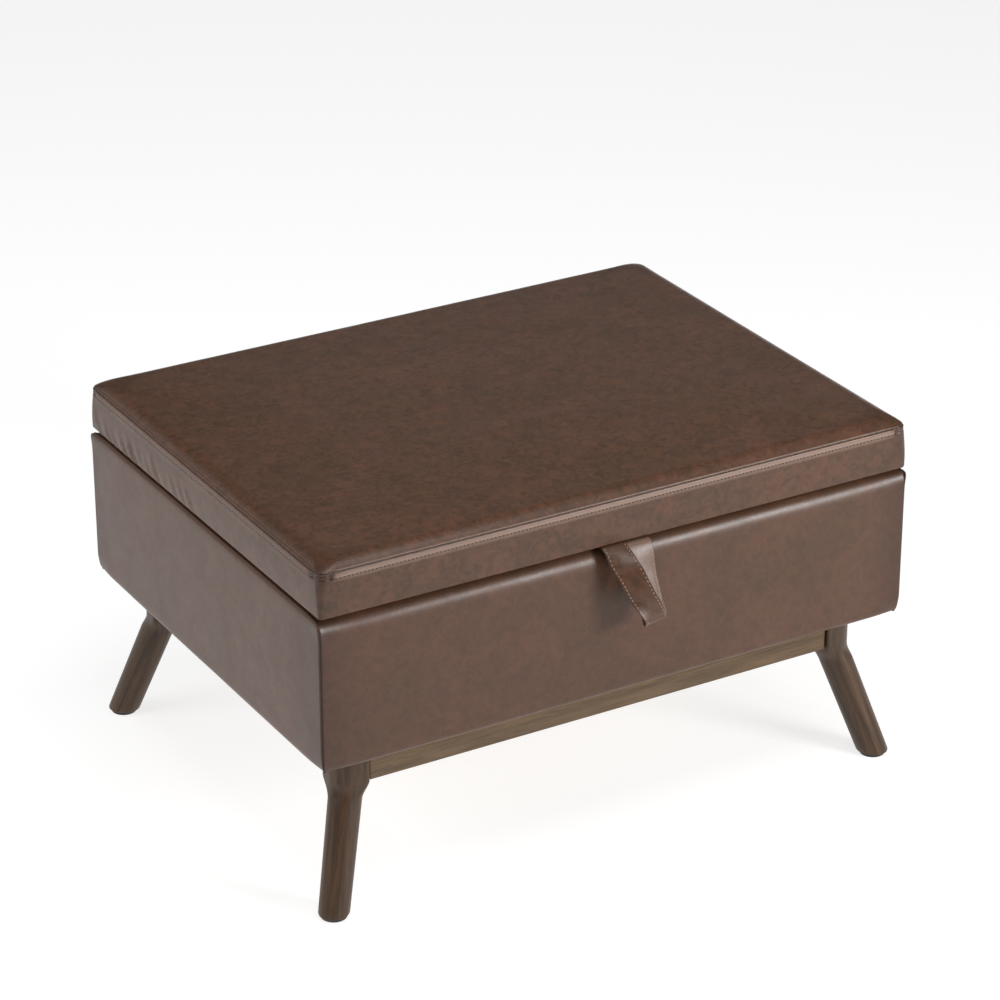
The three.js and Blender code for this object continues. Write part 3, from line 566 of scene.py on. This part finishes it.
def lid_corner_gathers(below, corner, straight):
    """Gathers in the leather at each corner, just under the seam."""
    gathered = (1 - straight) * smoothstep((below + 1 * MM) / (1 * MM))
    relief = -0.45 * MM * gathered * bump_at(below, 4 * MM, 7 * MM)
    folds = bump_at(below, 3.4 * MM, 0.8 * MM) + bump_at(below, 7.4 * MM, 0.9 * MM)
    relief += -0.6 * MM * gathered * folds
    relief += 0.4 * MM * gathered * np.sin(corner / (2.6 * MM)) * bump_at(below, 5 * MM, 6 * MM)
    return relief


def lid_side_relief(points, side, corner):
    """Two parts of how far the lid's side stands out: lines along the seam, and soft shape below it."""
    z = points[:, 2]
    below = LID_SEAM - z
    straight = smoothstep((corner - 11 * MM) / (4 * MM))
    on_side = (z < LID_SEAM + 6 * MM) & (z > LID_BOTTOM + 0.5 * MM)
    lines = lid_seam_relief(below, straight) + lid_corner_gathers(below, corner, straight)
    panel = np.clip((LID_SEAM - STITCH_DROP - z) / (LID_SEAM - STITCH_DROP - LID_BOTTOM), 0, 1)
    soft = 0.9 * MM * np.sin(math.pi * panel) + pull_wrinkles(points, side)
    return np.where(on_side, lines, 0), np.where(on_side, soft, 0)


def pull_wrinkles(points, side):
    """Slanted pulls that rise from the lid's bottom edge, strongest at the back left."""
    chance = random.Random(7)
    height = points[:, 2] - LID_BOTTOM
    lean = 26 * MM * (1 - np.exp(-np.clip(height, 0, None) / (20 * MM)))
    total = np.zeros(len(points))
    runs = [(3, 1, 1, 2.5 * MM, 12), (1, 1, -1, 0.7 * MM, 6), (2, 0, -1, 0.7 * MM, 6)]
    for index, axis, direction, strength, count in runs:
        along = (points[:, axis] - CENTRE[axis]) * direction
        for step in range(count):
            start = LID_HALF[axis] - (34 + 25 * step + chance.uniform(-5, 5)) * MM
            size = strength * chance.uniform(0.45, 1.0) * (1 - 0.45 * step / count)
            top = chance.uniform(30, 46) * MM
            width = chance.uniform(4.0, 6.5) * MM
            fade = smoothstep(height / (4 * MM)) * smoothstep((top - height) / (26 * MM))
            middle = start + lean
            ridge = bump_at(along, middle, width) - 0.6 * bump_at(along, middle - 1.7 * width, width)
            total += np.where(side == index, size * fade * ridge, 0)
    return total


def lid_cushion():
    """The lid's leather and foam: a fine mesh that takes its crown from the inflated copy."""
    loop = Loop(150, 114, 16)
    rows = lid_rows()
    rings = lid_rings(loop, LID_HALF, rows)
    skirt = np.concatenate(rings)
    top, top_faces = grid_cap(loop, rings[-1], (len(rows) - 1) * loop.count, len(skirt))
    points = np.concatenate([skirt, top])
    out = np.zeros((len(points), 2))
    out[: len(skirt)] = np.tile(loop.out, (len(rows), 1))
    side = np.full(len(points), -1)
    side[: len(skirt)] = np.tile(loop.side, len(rows))
    corner = np.full(len(points), 1.0)
    corner[: len(skirt)] = np.tile(loop.from_corner(LID_HALF, LID_CORNER), len(rows))
    rest, shift = inflated_shift()
    carried = spread_shift(points, rest, shift)
    rise = np.percentile(carried[:, 2], 99.5)
    carried *= min(1.0, LID_CROWN / rise)
    moved = points + carried * (points[:, 2:] > LID_SEAM - STITCH_DROP)
    lines, soft = lid_side_relief(points, side, corner)
    moved[:, :2] += out * (lines + soft)[:, None]
    upper = smoothstep((points[:, 2] - LID_SEAM - 3 * MM) / (10 * MM))
    moved[:, 2] += upper * 0.35 * MM * low_noise(points, 14, 3)
    piece = make_object("lid_cushion", moved, ring_faces(len(rows), loop.count) + top_faces)
    # Painted shade in the seam's grooves and round each corner of the side band; painted highlight on
    # the seam strip's ridges, full on the front and weaker on the other sides.
    painted_corner_shade = np.where(side < 0, 0, 0.28 * bump_at(corner, 0, 26 * MM))
    shown = np.where((side == 0) | (lines < 0), lines, 0.3 * lines)
    add_amount(piece, "proud", np.clip(shown / (1.3 * MM) - painted_corner_shade, -1, 1))
    thicken(piece, SKIN)
    dress(piece, LEATHER)
    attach(piece, "lid")
    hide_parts("lid_top_cover", "lid_foam", *(f"lid_band_{name}" for name in SIDES))


# ---------------------------------------------------------------- stitches
def stitch_mesh(name, centres, along, out, length, radius):
    """One mesh of small thread stitches, each a slim rounded bead."""
    sides, rings = 6, 5
    points, faces = [], []
    for centre, tangent, normal in zip(centres, along, out):
        binormal = np.cross(tangent, normal)
        first = len(points)
        for r in range(rings):
            t = math.pi * (r + 0.5) / rings
            for k in range(sides):
                angle = 2 * math.pi * k / sides
                ring = math.sin(t) ** 0.5 * radius
                points.append(
                    centre - tangent * math.cos(t) * length / 2
                    + normal * math.cos(angle) * ring + binormal * math.sin(angle) * ring
                )
        for r in range(rings - 1):
            for k in range(sides):
                m = (k + 1) % sides
                a = first + r * sides
                faces.append((a + k, a + m, a + sides + m, a + sides + k))
        faces.append(tuple(first + k for k in reversed(range(sides))))
        faces.append(tuple(first + (rings - 1) * sides + k for k in range(sides)))
    return make_object(name, points, faces)


def side_frames():
    """For each side of a rectangle: the axis it runs along, its direction and the way out."""
    for index, axis in enumerate((0, 1, 0, 1)):
        heading = (index - 1) * math.pi / 2
        normal = np.array([math.cos(heading), math.sin(heading), 0])
        yield axis, np.array([-normal[1], normal[0], 0]), normal


def lid_stitches():
    """The topstitch under the lid's seam, along the straight of each side."""
    centres, along, out = [], [], []
    for axis, tangent, normal in side_frames():
        reach = LID_HALF[axis] - 18 * MM
        face = LID_HALF[1 - axis] + 1.1 * MM
        for place in np.arange(-reach, reach, STITCH_PITCH):
            flat = normal * face + tangent * place
            centres.append(flat + [CENTRE[0], CENTRE[1], LID_SEAM - STITCH_DROP])
            along.append(tangent)
            out.append(normal)
    piece = stitch_mesh("lid_topstitch", centres, along, out, 2.9 * MM, 0.6 * MM)
    dress(piece, LID_THREAD_PAINTED_SHADE)
    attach(piece, "lid")


# ---------------------------------------------------------------- box upholstery
def box_rows():
    """(inset, height) from inside the rim, over the rolled top edge, down the side and under the box."""
    roll_start, foot_start = BOX_TOP - ROLL_TALL, BOX_BOTTOM + FOOT_TALL
    rows = [(24 * MM, BOX_TOP - 0.4 * MM), (20 * MM, BOX_TOP)]
    rows += arc_rows(ROLL_DEEP, roll_start, ROLL_DEEP, ROLL_TALL, math.pi / 2, 0, 14)
    rows += [(0, z) for z in np.linspace(roll_start, foot_start, 30)[1:-1]]
    rows += arc_rows(FOOT_DEEP, foot_start, FOOT_DEEP, FOOT_TALL, 0, -math.pi / 2, 7)
    rows += [(16 * MM, BOX_BOTTOM), (BOX_UNDER, BOX_BOTTOM)]
    return rows


def box_ring(loop, inset, z):
    """One ring of the box leather, pulled tighter over the side boards than over the front and back."""
    rolled = inset <= ROLL_DEEP and z > BOX_TOP - ROLL_TALL
    reach = inset * np.array([1 - SIDE_TIGHT, 1]) if rolled else inset
    ring = loop.ring(BOX_HALF, reach, z, tightened(BOX_CORNER, inset))
    drop = BOX_TOP - z
    tight = SIDE_TIGHT * smoothstep(np.abs(loop.out[:, 0])) * (1 - smoothstep(drop / TIGHT_FADE))
    ring[:, 2] = BOX_TOP - drop * (1 - tight)
    return ring


def box_relief(points, corner):
    """How far the box leather stands out: pillow, flared top corners and tucked bottom ones."""
    z = points[:, 2]
    share = np.clip((z - BOX_BOTTOM) / (BOX_TOP - BOX_BOTTOM), 0, 1)
    relief = 1.3 * MM * np.sin(math.pi * share) * smoothstep(corner / (90 * MM))
    relief += FLARE * bump_at(z, BOX_TOP, 14 * MM) * np.exp(-(corner / (24 * MM)) ** 2)
    low = smoothstep((BOX_BOTTOM + 24 * MM - z) / (24 * MM))
    relief += -2.5 * MM * low * np.exp(-(corner / (26 * MM)) ** 2)
    return relief


def box_upholstery():
    """The box's leather with the foam behind it, one shell with a seam down each corner."""
    loop = Loop(110, 84, 24)
    rows = box_rows()
    points = np.concatenate([box_ring(loop, inset, z) for inset, z in rows])
    out = np.tile(loop.out, (len(rows), 1))
    corner = np.tile(loop.from_corner(BOX_HALF, BOX_CORNER), len(rows))
    seam = -1.4 * MM * bump_at(corner, 0, 1.1 * MM)
    relief = box_relief(points, corner) + seam
    relief += 0.25 * MM * low_noise(points, 9, 11) * smoothstep(corner / (20 * MM))
    inner = np.repeat([inset > ROLL_DEEP + 1 * MM for inset, _ in rows], loop.count)
    points[:, :2] += out * np.where(inner, 0, relief)[:, None]
    faces = [face[::-1] for face in ring_faces(len(rows), loop.count)]
    piece = make_object("box_upholstery", points, faces)
    # Painted shade in the corner seam and over the leather round each corner.
    add_amount(piece, "proud", seam / (1.6 * MM) - 0.45 * bump_at(corner, 0, 38 * MM))
    thicken(piece, SKIN)
    dress(piece, BOX_LEATHER)
    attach(piece, "box")
    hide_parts("box_padding", *(f"box_cover_{name}" for name in SIDES))


# ---------------------------------------------------------------- pull loop
STRAP_WIDTH = 36 * MM
STRAP_THICK = 2 * MM
STRAP_STITCH_IN = 3.2 * MM    # stitch row from the strap's edge
STRAP_PLAIN_END = 22 * MM     # length without stitches at each end, under the lid
# Places along the strap, as shares of its length, and the degrees it is twisted there.
STRAP_TWIST = (0.38, 0.50, 0.62), (20, -12, 9)
# Centre line from under the lid, down the front strand, round the fold and back up the rear strand.
# Each entry is sideways position, distance out from the box front and drop below the lid gap, in mm.
STRAP_LINE = [
    (-17.5, -20, -1.1), (-17.5, -8, -1.1), (-17.5, 0, -0.6), (-17.3, 5.5, 1.9), (-17, 12, 6),
    (-15.5, 25, 17), (-11.5, 36, 29), (-3, 46, 53), (8, 51.2, 74), (14, 51.6, 86),
    (15.5, 49, 90.5), (16, 45.5, 88), (16.5, 39, 75), (17, 29, 58), (17.5, 18, 38),
    (18, 9.5, 16), (18, 5, 6.5), (17.8, 0.5, 1.6), (17.6, -8, 1), (17.5, -20, 1),
]


def smooth_line(points, steps):
    """Evenly spaced points on a Catmull-Rom curve, with their directions."""
    control = np.array([2 * points[0] - points[1], *points, 2 * points[-1] - points[-2]])
    fine = []
    for p0, p1, p2, p3 in zip(control, control[1:], control[2:], control[3:]):
        for t in np.linspace(0, 1, 20, endpoint=False):
            fine.append(0.5 * (2 * p1 + (p2 - p0) * t + (2 * p0 - 5 * p1 + 4 * p2 - p3) * t ** 2
                               + (3 * p1 - p0 - 3 * p2 + p3) * t ** 3))
    fine.append(points[-1])
    fine = np.array(fine)
    far = np.r_[0, np.cumsum(np.linalg.norm(np.diff(fine, axis=0), axis=1))]
    places = np.linspace(0, far[-1], steps + 1)
    line = np.column_stack([np.interp(places, far, fine[:, k]) for k in range(3)])
    heading = np.gradient(line, axis=0)
    return line, heading / np.linalg.norm(heading, axis=1)[:, None], places


def strap_frame(steps):
    """Places along the strap, with its direction, its way across and its upper side at each."""
    front = BOX_LOW[1]
    control = [(x * MM, front - out * MM, GAP_MIDDLE - down * MM) for x, out, down in STRAP_LINE]
    line, heading, places = smooth_line(np.array(control), steps)
    normal = np.column_stack([np.zeros(len(line)), -heading[:, 2], heading[:, 1]])
    normal /= np.linalg.norm(normal, axis=1)[:, None]
    sideways = np.tile([1.0, 0.0, 0.0], (len(line), 1))
    share = places / places[-1]
    free = smoothstep((share - 0.10) / 0.10) * smoothstep((0.90 - share) / 0.18)
    twist = free * np.radians(np.interp(share, *STRAP_TWIST))
    lean, turn = np.sin(twist)[:, None], np.cos(twist)[:, None]
    return line, heading, sideways * turn - normal * lean, normal * turn + sideways * lean, places


def strap_section():
    """Outline of the strap, (across, proud), with round edges and a dip under each stitch row."""
    across = np.linspace(-1, 1, 25) * (STRAP_WIDTH - STRAP_THICK) / 2
    dip = 0.22 * MM * bump_at(np.abs(across), STRAP_WIDTH / 2 - STRAP_STITCH_IN, 0.8 * MM)
    crown = 0.15 * MM * (1 - (across / (STRAP_WIDTH / 2)) ** 2)
    face = STRAP_THICK / 2 - dip + crown
    angles = np.linspace(math.pi / 2, -math.pi / 2, 7)[1:-1]
    rounding = STRAP_THICK / 2
    middle = STRAP_WIDTH / 2 - rounding
    edge = [(middle + rounding * math.cos(a), rounding * math.sin(a)) for a in angles]
    top = list(zip(across, face))
    return top + edge + [(a, -p) for a, p in reversed(top)] + [(-a, -p) for a, p in edge]


def pull_loop():
    """The folded leather strap, swept along its centre line."""
    steps = 150
    line, heading, sideways, normal, places = strap_frame(steps)
    section = strap_section()
    count = len(section)
    points, rest = [], []
    for centre, way, up, place in zip(line, sideways, normal, places):
        for across, proud in section:
            points.append(centre + way * across + up * proud)
            rest.append((across, place, proud))
    faces = ring_faces(steps + 1, count)
    faces.append(tuple(reversed(range(count))))
    faces.append(tuple(steps * count + i for i in range(count)))
    piece = make_object("pull_loop_strap", points, faces)
    add_vector_attribute(piece, "along_strap", rest)
    # Painted highlight on the strap's upper faces and slight painted shade on its lower faces.
    add_amount(piece, "proud", [0.45 if proud > 0.6 * MM else -0.06 for _, _, proud in rest])
    dress(piece, STRAP_LEATHER)
    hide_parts("pull_strap", "pull_strap_tail")
    strap_stitches(line, heading, sideways, normal, places)
    hang_from_lid(piece)


def strap_stitches(line, heading, sideways, normal, places):
    """A row of stitches along each edge of the strap, on both of its faces."""
    spots = np.arange(STRAP_PLAIN_END, places[-1] - STRAP_PLAIN_END, STITCH_PITCH)
    centre, along, way, up = (
        np.column_stack([np.interp(spots, places, values[:, k]) for k in range(3)])
        for values in (line, heading, sideways, normal)
    )
    centres, directions, outs = [], [], []
    for edge in (-1, 1):
        for face in (-1, 1):
            offset = way * edge * (STRAP_WIDTH / 2 - STRAP_STITCH_IN)
            centres.extend(centre + offset + up * face * (STRAP_THICK / 2 + 0.05 * MM))
            directions.extend(along)
            outs.extend(up * face)
    piece = stitch_mesh("pull_loop_stitches", centres, directions, outs, 3.3 * MM, 0.42 * MM)
    dress(piece, STRAP_THREAD)
    hang_from_lid(piece)


def hang_from_lid(piece):
    """Bakes the piece's placement into its mesh."""
    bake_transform(piece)


# ---------------------------------------------------------------- legs, rails and glides
def leg_outline(sx, sy, z, foot, block, arc_steps=10):
    """One level of a leg: a square with one round corner at the top, round below the shoulder."""
    half = BLOCK / 2
    turn = smoothstep((SHOULDER_TOP - z) / (SHOULDER_TOP - SHOULDER_BOTTOM))
    radius = LEG_FOOT_RADIUS + (LEG_TOP_RADIUS - LEG_FOOT_RADIUS) * min(z / SHOULDER_BOTTOM, 1)
    axis = foot - LEG_SLOPE * z * np.array([sx, sy])
    widen = (math.sqrt(1 + 2 * LEG_SLOPE ** 2) - 1) / 2
    ring = []
    for quadrant in range(4):
        qx = 1 if quadrant in (0, 3) else -1
        qy = 1 if quadrant < 2 else -1
        corner = BLOCK_OUTER_RADIUS if (qx, qy) == (sx, sy) else BLOCK_EDGE_RADIUS
        for step in range(arc_steps + 1):
            arc = (quadrant + step / arc_steps) * math.pi / 2
            square = block + np.array([qx, qy]) * (half - corner)
            square = square + corner * np.array([math.cos(arc), math.sin(arc)])
            angle = (quadrant + (step + 0.5) / (arc_steps + 1)) * math.pi / 2
            point = np.array([math.cos(angle), math.sin(angle)])
            point = point + (point @ (sx, sy)) * widen * np.array([sx, sy])
            round_point = axis + radius * point
            ring.append((*((1 - turn) * square + turn * round_point), z))
    return ring


def wooden_leg(name, sx, sy):
    """One leg, from its square block at the rails down to its eased edge above the glide."""
    glide_low, glide_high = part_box(f"glide_{name}")
    middle = np.array((glide_low + glide_high) / 2)[:2]
    foot = middle + LEG_SLOPE * (glide_high.z - glide_low.z) * np.array([sx, sy])
    leg_low, leg_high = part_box(f"leg_{name}")
    inner = np.array([(leg_high if sx < 0 else leg_low).x, (leg_high if sy < 0 else leg_low).y])
    block = inner + np.array([sx, sy]) * BLOCK / 2
    low = glide_high.z + 0.2 * MM
    heights = [low, low + 0.6 * MM, low + 2 * MM, *np.linspace(low + 12 * MM, SHOULDER_BOTTOM, 8)]
    heights += [*np.linspace(SHOULDER_BOTTOM, SHOULDER_TOP, 16)[1:], 180 * MM]
    heights += [leg_high.z - 1 * MM, leg_high.z]
    rings = [np.array(leg_outline(sx, sy, z, foot, block)) for z in heights]
    for ring, share in zip(rings, (0.93, 0.975)):  # eased edge at the foot
        centre = ring.mean(axis=0)
        ring[:, :2] = centre[:2] + (ring[:, :2] - centre[:2]) * share
    count = len(rings[0])
    points = np.concatenate(rings)
    faces = ring_faces(len(rings), count)
    faces.append(tuple(reversed(range(count))))
    faces.append(tuple((len(rings) - 1) * count + i for i in range(count)))
    piece = make_object(f"wooden_leg_{name}", points, faces)
    piece.data.polygons[len(faces) - 1].use_smooth = False
    piece.data.polygons[len(faces) - 2].use_smooth = False
    grain = points.copy()
    grain[:, :2] += LEG_SLOPE * np.minimum(points[:, 2:], SHOULDER_TOP) * np.array([sx, sy])
    grain[:, 0] += 0.37 * sx + 0.11 * sy
    add_vector_attribute(piece, "leg_grain", grain)
    dress(piece, LEG_WOOD)
    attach(piece, "box")
    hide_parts(f"leg_{name}")


def soften(name, material, width):
    """Gives a CAD piece its material and eased edges."""
    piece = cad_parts[name]
    dress(piece, material)
    weld = piece.modifiers.new("weld", "WELD")
    weld.merge_threshold = 0.01 * MM
    bevel = piece.modifiers.new("bevel", "BEVEL")
    bevel.width = width
    bevel.segments = 2
    bevel.limit_method = "ANGLE"
    bevel.angle_limit = math.radians(40)
    bevel.harden_normals = True
    piece.data.polygons.foreach_set("use_smooth", [True] * len(piece.data.polygons))


def carried_over():
    """Materials and eased edges for the CAD pieces that stay."""
    for side in ("front", "back"):
        soften(f"rail_{side}", RAIL_WOOD, 1.2 * MM)
    for side in ("left", "right"):
        soften(f"rail_{side}", SIDE_RAIL_WOOD, 1.2 * MM)
    for name, _, _ in CORNERS:
        soften(f"glide_{name}", PLASTIC, 0.4 * MM)
        soften(f"corner_brace_{name}", PLYWOOD, 0.5 * MM)
        soften(f"leg_bolt_{name}", STEEL, 0.2 * MM)
    for name in ("front_panel", "back_panel", "left_panel", "right_panel", "bottom_panel", "lid_board"):
        soften(name, PLYWOOD, 0.6 * MM)
    for side in ("left", "right"):
        soften(f"rim_buffer_{side}", RUBBER, 0.5 * MM)
        for part in ("box_leaf", "lid_leaf", "pin"):
            soften(f"hinge_{side}_{part}", STEEL, 0.15 * MM)
        for part in ("box_bracket", "lower_arm", "upper_arm", "lid_bracket"):
            soften(f"stay_{side}_{part}", STEEL, 0.2 * MM)


# ---------------------------------------------------------------- linings
def storage_lining():
    """Cloth glued inside the box: four walls with soft corners, a floor and a turned hem."""
    low, high = span("storage_lining")
    half = (high - low)[:2] / 2
    loop = Loop(60, 46, 12)
    rows = [(0.2 * MM, high[2] - 9 * MM), (-0.2 * MM, high[2] - 1 * MM), (0.6 * MM, high[2])]
    rows += [(1.4 * MM, z) for z in np.linspace(high[2] - 1 * MM, low[2] + 9 * MM, 22)]
    rows += arc_rows(9 * MM, low[2] + 9.6 * MM, 8 * MM, 8 * MM, 0, -math.pi / 2, 6)[1:]
    rings = [loop.ring(half, inset, z, tightened(9 * MM, inset)) for inset, z in rows]
    walls = np.concatenate(rings)
    floor, floor_faces = grid_cap(loop, rings[-1], (len(rows) - 1) * loop.count, len(walls))
    points = np.concatenate([walls, floor])
    ripple = 0.5 * MM * low_noise(points * [1, 1, 0.35], 16, 5)
    out = np.zeros((len(points), 2))
    out[: len(walls)] = np.tile(loop.out, (len(rows), 1))
    inside = smoothstep((high[2] - 4 * MM - points[:, 2]) / (20 * MM))
    points[:, :2] -= out * (np.abs(ripple) * inside)[:, None]
    points[len(walls):, 2] += np.abs(ripple[len(walls):])
    faces = ring_faces(len(rows), loop.count) + floor_faces
    piece = make_object("box_lining_cloth", points, faces)
    thicken(piece, 0.5 * MM, 1)
    dress(piece, LINING)
    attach(piece, "box")
    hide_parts("storage_lining")


def lid_underside():
    """Black cloth stapled under the lid board, with a turned hem."""
    low, high = span("lid_underside_cloth")
    half = (high - low)[:2] / 2
    loop = Loop(60, 46, 8)
    rows = [(6 * MM, high[2] - 0.2 * MM), (0.4 * MM, high[2] - 0.3 * MM), (0, low[2] + 0.5 * MM)]
    rows += [(0.6 * MM, low[2] + 0.2 * MM), (8 * MM, low[2] + 0.2 * MM), (9 * MM, low[2] + 0.55 * MM)]
    rings = [loop.ring(half, inset, z, tightened(4 * MM, inset)) for inset, z in rows]
    edge = np.concatenate(rings)
    middle, middle_faces = grid_cap(loop, rings[-1], (len(rows) - 1) * loop.count, len(edge))
    middle[:, 2] += 0.25 * MM * low_noise(middle, 12, 8)
    faces = ring_faces(len(rows), loop.count) + middle_faces
    piece = make_object("lid_underside_lining", np.concatenate([edge, middle]), [f[::-1] for f in faces])
    thicken(piece, 0.3 * MM)
    dress(piece, LINING)
    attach(piece, "lid")
    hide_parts("lid_underside_cloth")


def staple_row(name, half, inset, z, body, pitch):
    """Wire staples round a rectangle, flat against a face that looks down."""
    centres, along, out = [], [], []
    for axis, tangent, normal in side_frames():
        reach = half[axis] - inset - 14 * MM
        count = int(2 * reach / pitch)
        for place in np.linspace(-reach, reach, count):
            flat = normal * (half[1 - axis] - inset) + tangent * place
            centres.append(flat + [CENTRE[0], CENTRE[1], z])
            along.append(tangent)
            out.append(np.array([0, 0, -1.0]))
    piece = stitch_mesh(name, centres, along, out, 10 * MM, 0.35 * MM)
    dress(piece, STEEL)
    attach(piece, body)


# ---------------------------------------------------------------- camera, floor and light
CAMERA_AZIMUTH = math.radians(-30.292)
CAMERA_ELEVATION = math.radians(25.626)
CAMERA_ROLL = math.radians(-0.021)
CAMERA_DISTANCE = 4.9867
CAMERA_AIM = np.array([0.05632, 0.08019 + CENTRE[1], 0.30267])
CAMERA_LENS = 132.18


def back_direction(azimuth, elevation):
    """From the ottoman towards a viewer; azimuth 0 is in front, and positive is to the right."""
    flat = math.cos(elevation)
    return np.array([math.sin(azimuth) * flat, -math.cos(azimuth) * flat, math.sin(elevation)])


def add_camera():
    back = back_direction(CAMERA_AZIMUTH, CAMERA_ELEVATION)
    right = np.cross(-back, [0, 0, 1])
    right /= np.linalg.norm(right)
    up = np.cross(right, -back)
    across = right * math.cos(CAMERA_ROLL) + up * math.sin(CAMERA_ROLL)
    above = up * math.cos(CAMERA_ROLL) - right * math.sin(CAMERA_ROLL)
    data = bpy.data.cameras.new("camera")
    data.lens = CAMERA_LENS
    data.sensor_width = 36
    data.clip_end = 120
    camera = bpy.data.objects.new("camera", data)
    rotation = Matrix(np.column_stack([across, above, back]).tolist()).to_4x4()
    camera.matrix_world = Matrix.Translation(CAMERA_AIM + back * CAMERA_DISTANCE) @ rotation
    bpy.context.scene.collection.objects.link(camera)
    bpy.context.scene.camera = camera


def add_floor():
    size = 40
    corners = [(-size, -size, 0), (size, -size, 0), (size, size, 0), (-size, size, 0)]
    floor = make_object("studio_floor", corners, [(0, 1, 2, 3)], smooth=False)
    shader = Shader("floor", Base_Color=(0.35, 0.35, 0.35, 1), Roughness=0.9, Specular_IOR_Level=0.1)
    shader.surface.inputs["Emission Color"].default_value = (1, 1, 1, 1)
    shader.surface.inputs["Emission Strength"].default_value = 0.78
    dress(floor, shader.material)


def add_softbox(name, azimuth, elevation, distance, size, watts, aim=(0, 0, 0.3)):
    """A soft area light aimed at a point, from a direction given as for the camera."""
    back = back_direction(math.radians(azimuth), math.radians(elevation))
    data = bpy.data.lights.new(name, "AREA")
    data.shape = "RECTANGLE"
    data.size, data.size_y = size
    data.energy = watts
    light = bpy.data.objects.new(name, data)
    light.location = Vector(aim) + Vector(back) * distance
    light.rotation_mode = "QUATERNION"
    light.rotation_quaternion = Vector(-back).to_track_quat("-Z", "Y")
    bpy.context.scene.collection.objects.link(light)


def add_studio():
    add_floor()
    world = bpy.data.worlds.new("studio")
    world.use_nodes = True
    background = world.node_tree.nodes["Background"]
    background.inputs["Color"].default_value = (1, 1, 1, 1)
    background.inputs["Strength"].default_value = 0.12
    bpy.context.scene.world = world
    near_corner = (-0.46, BOX_LOW[1], BOX_TOP)
    left_edge = (-0.43, 0.05, LID_TOP)
    far_corner = (0.42, BOX_HIGH[1], LID_TOP)
    add_softbox("overhead", 0, 74, 3.2, (2.4, 1.6), 54)
    add_softbox("key", 42, 17, 3.0, (0.9, 0.6), 56, aim=near_corner)
    add_softbox("front_fill", 36, 8, 3.4, (1.4, 1.2), 9, aim=near_corner)
    add_softbox("left_fill", -100, 30, 4.0, (2.4, 1.6), 58)
    add_softbox("back_left", -150, 27, 3.0, (1.6, 1.2), 6, aim=left_edge)
    add_softbox("back_fill", 150, 24, 4.0, (2.0, 1.2), 2, aim=far_corner)
    bpy.context.scene.view_settings.view_transform = "Standard"


# ---------------------------------------------------------------- build
add_camera()
add_studio()
carried_over()
for corner_name, corner_x, corner_y in CORNERS:
    wooden_leg(corner_name, corner_x, corner_y)
lid_cushion()
lid_stitches()
box_upholstery()
pull_loop()
storage_lining()
lid_underside()
staple_row("lid_cloth_staples", LID_HALF, TURN_UNDER + 4 * MM, LID_BOTTOM, "lid", 38 * MM)
staple_row("box_leather_staples", BOX_HALF, BOX_UNDER - 6 * MM, BOX_BOTTOM - 0.1 * MM, "box", 32 * MM)
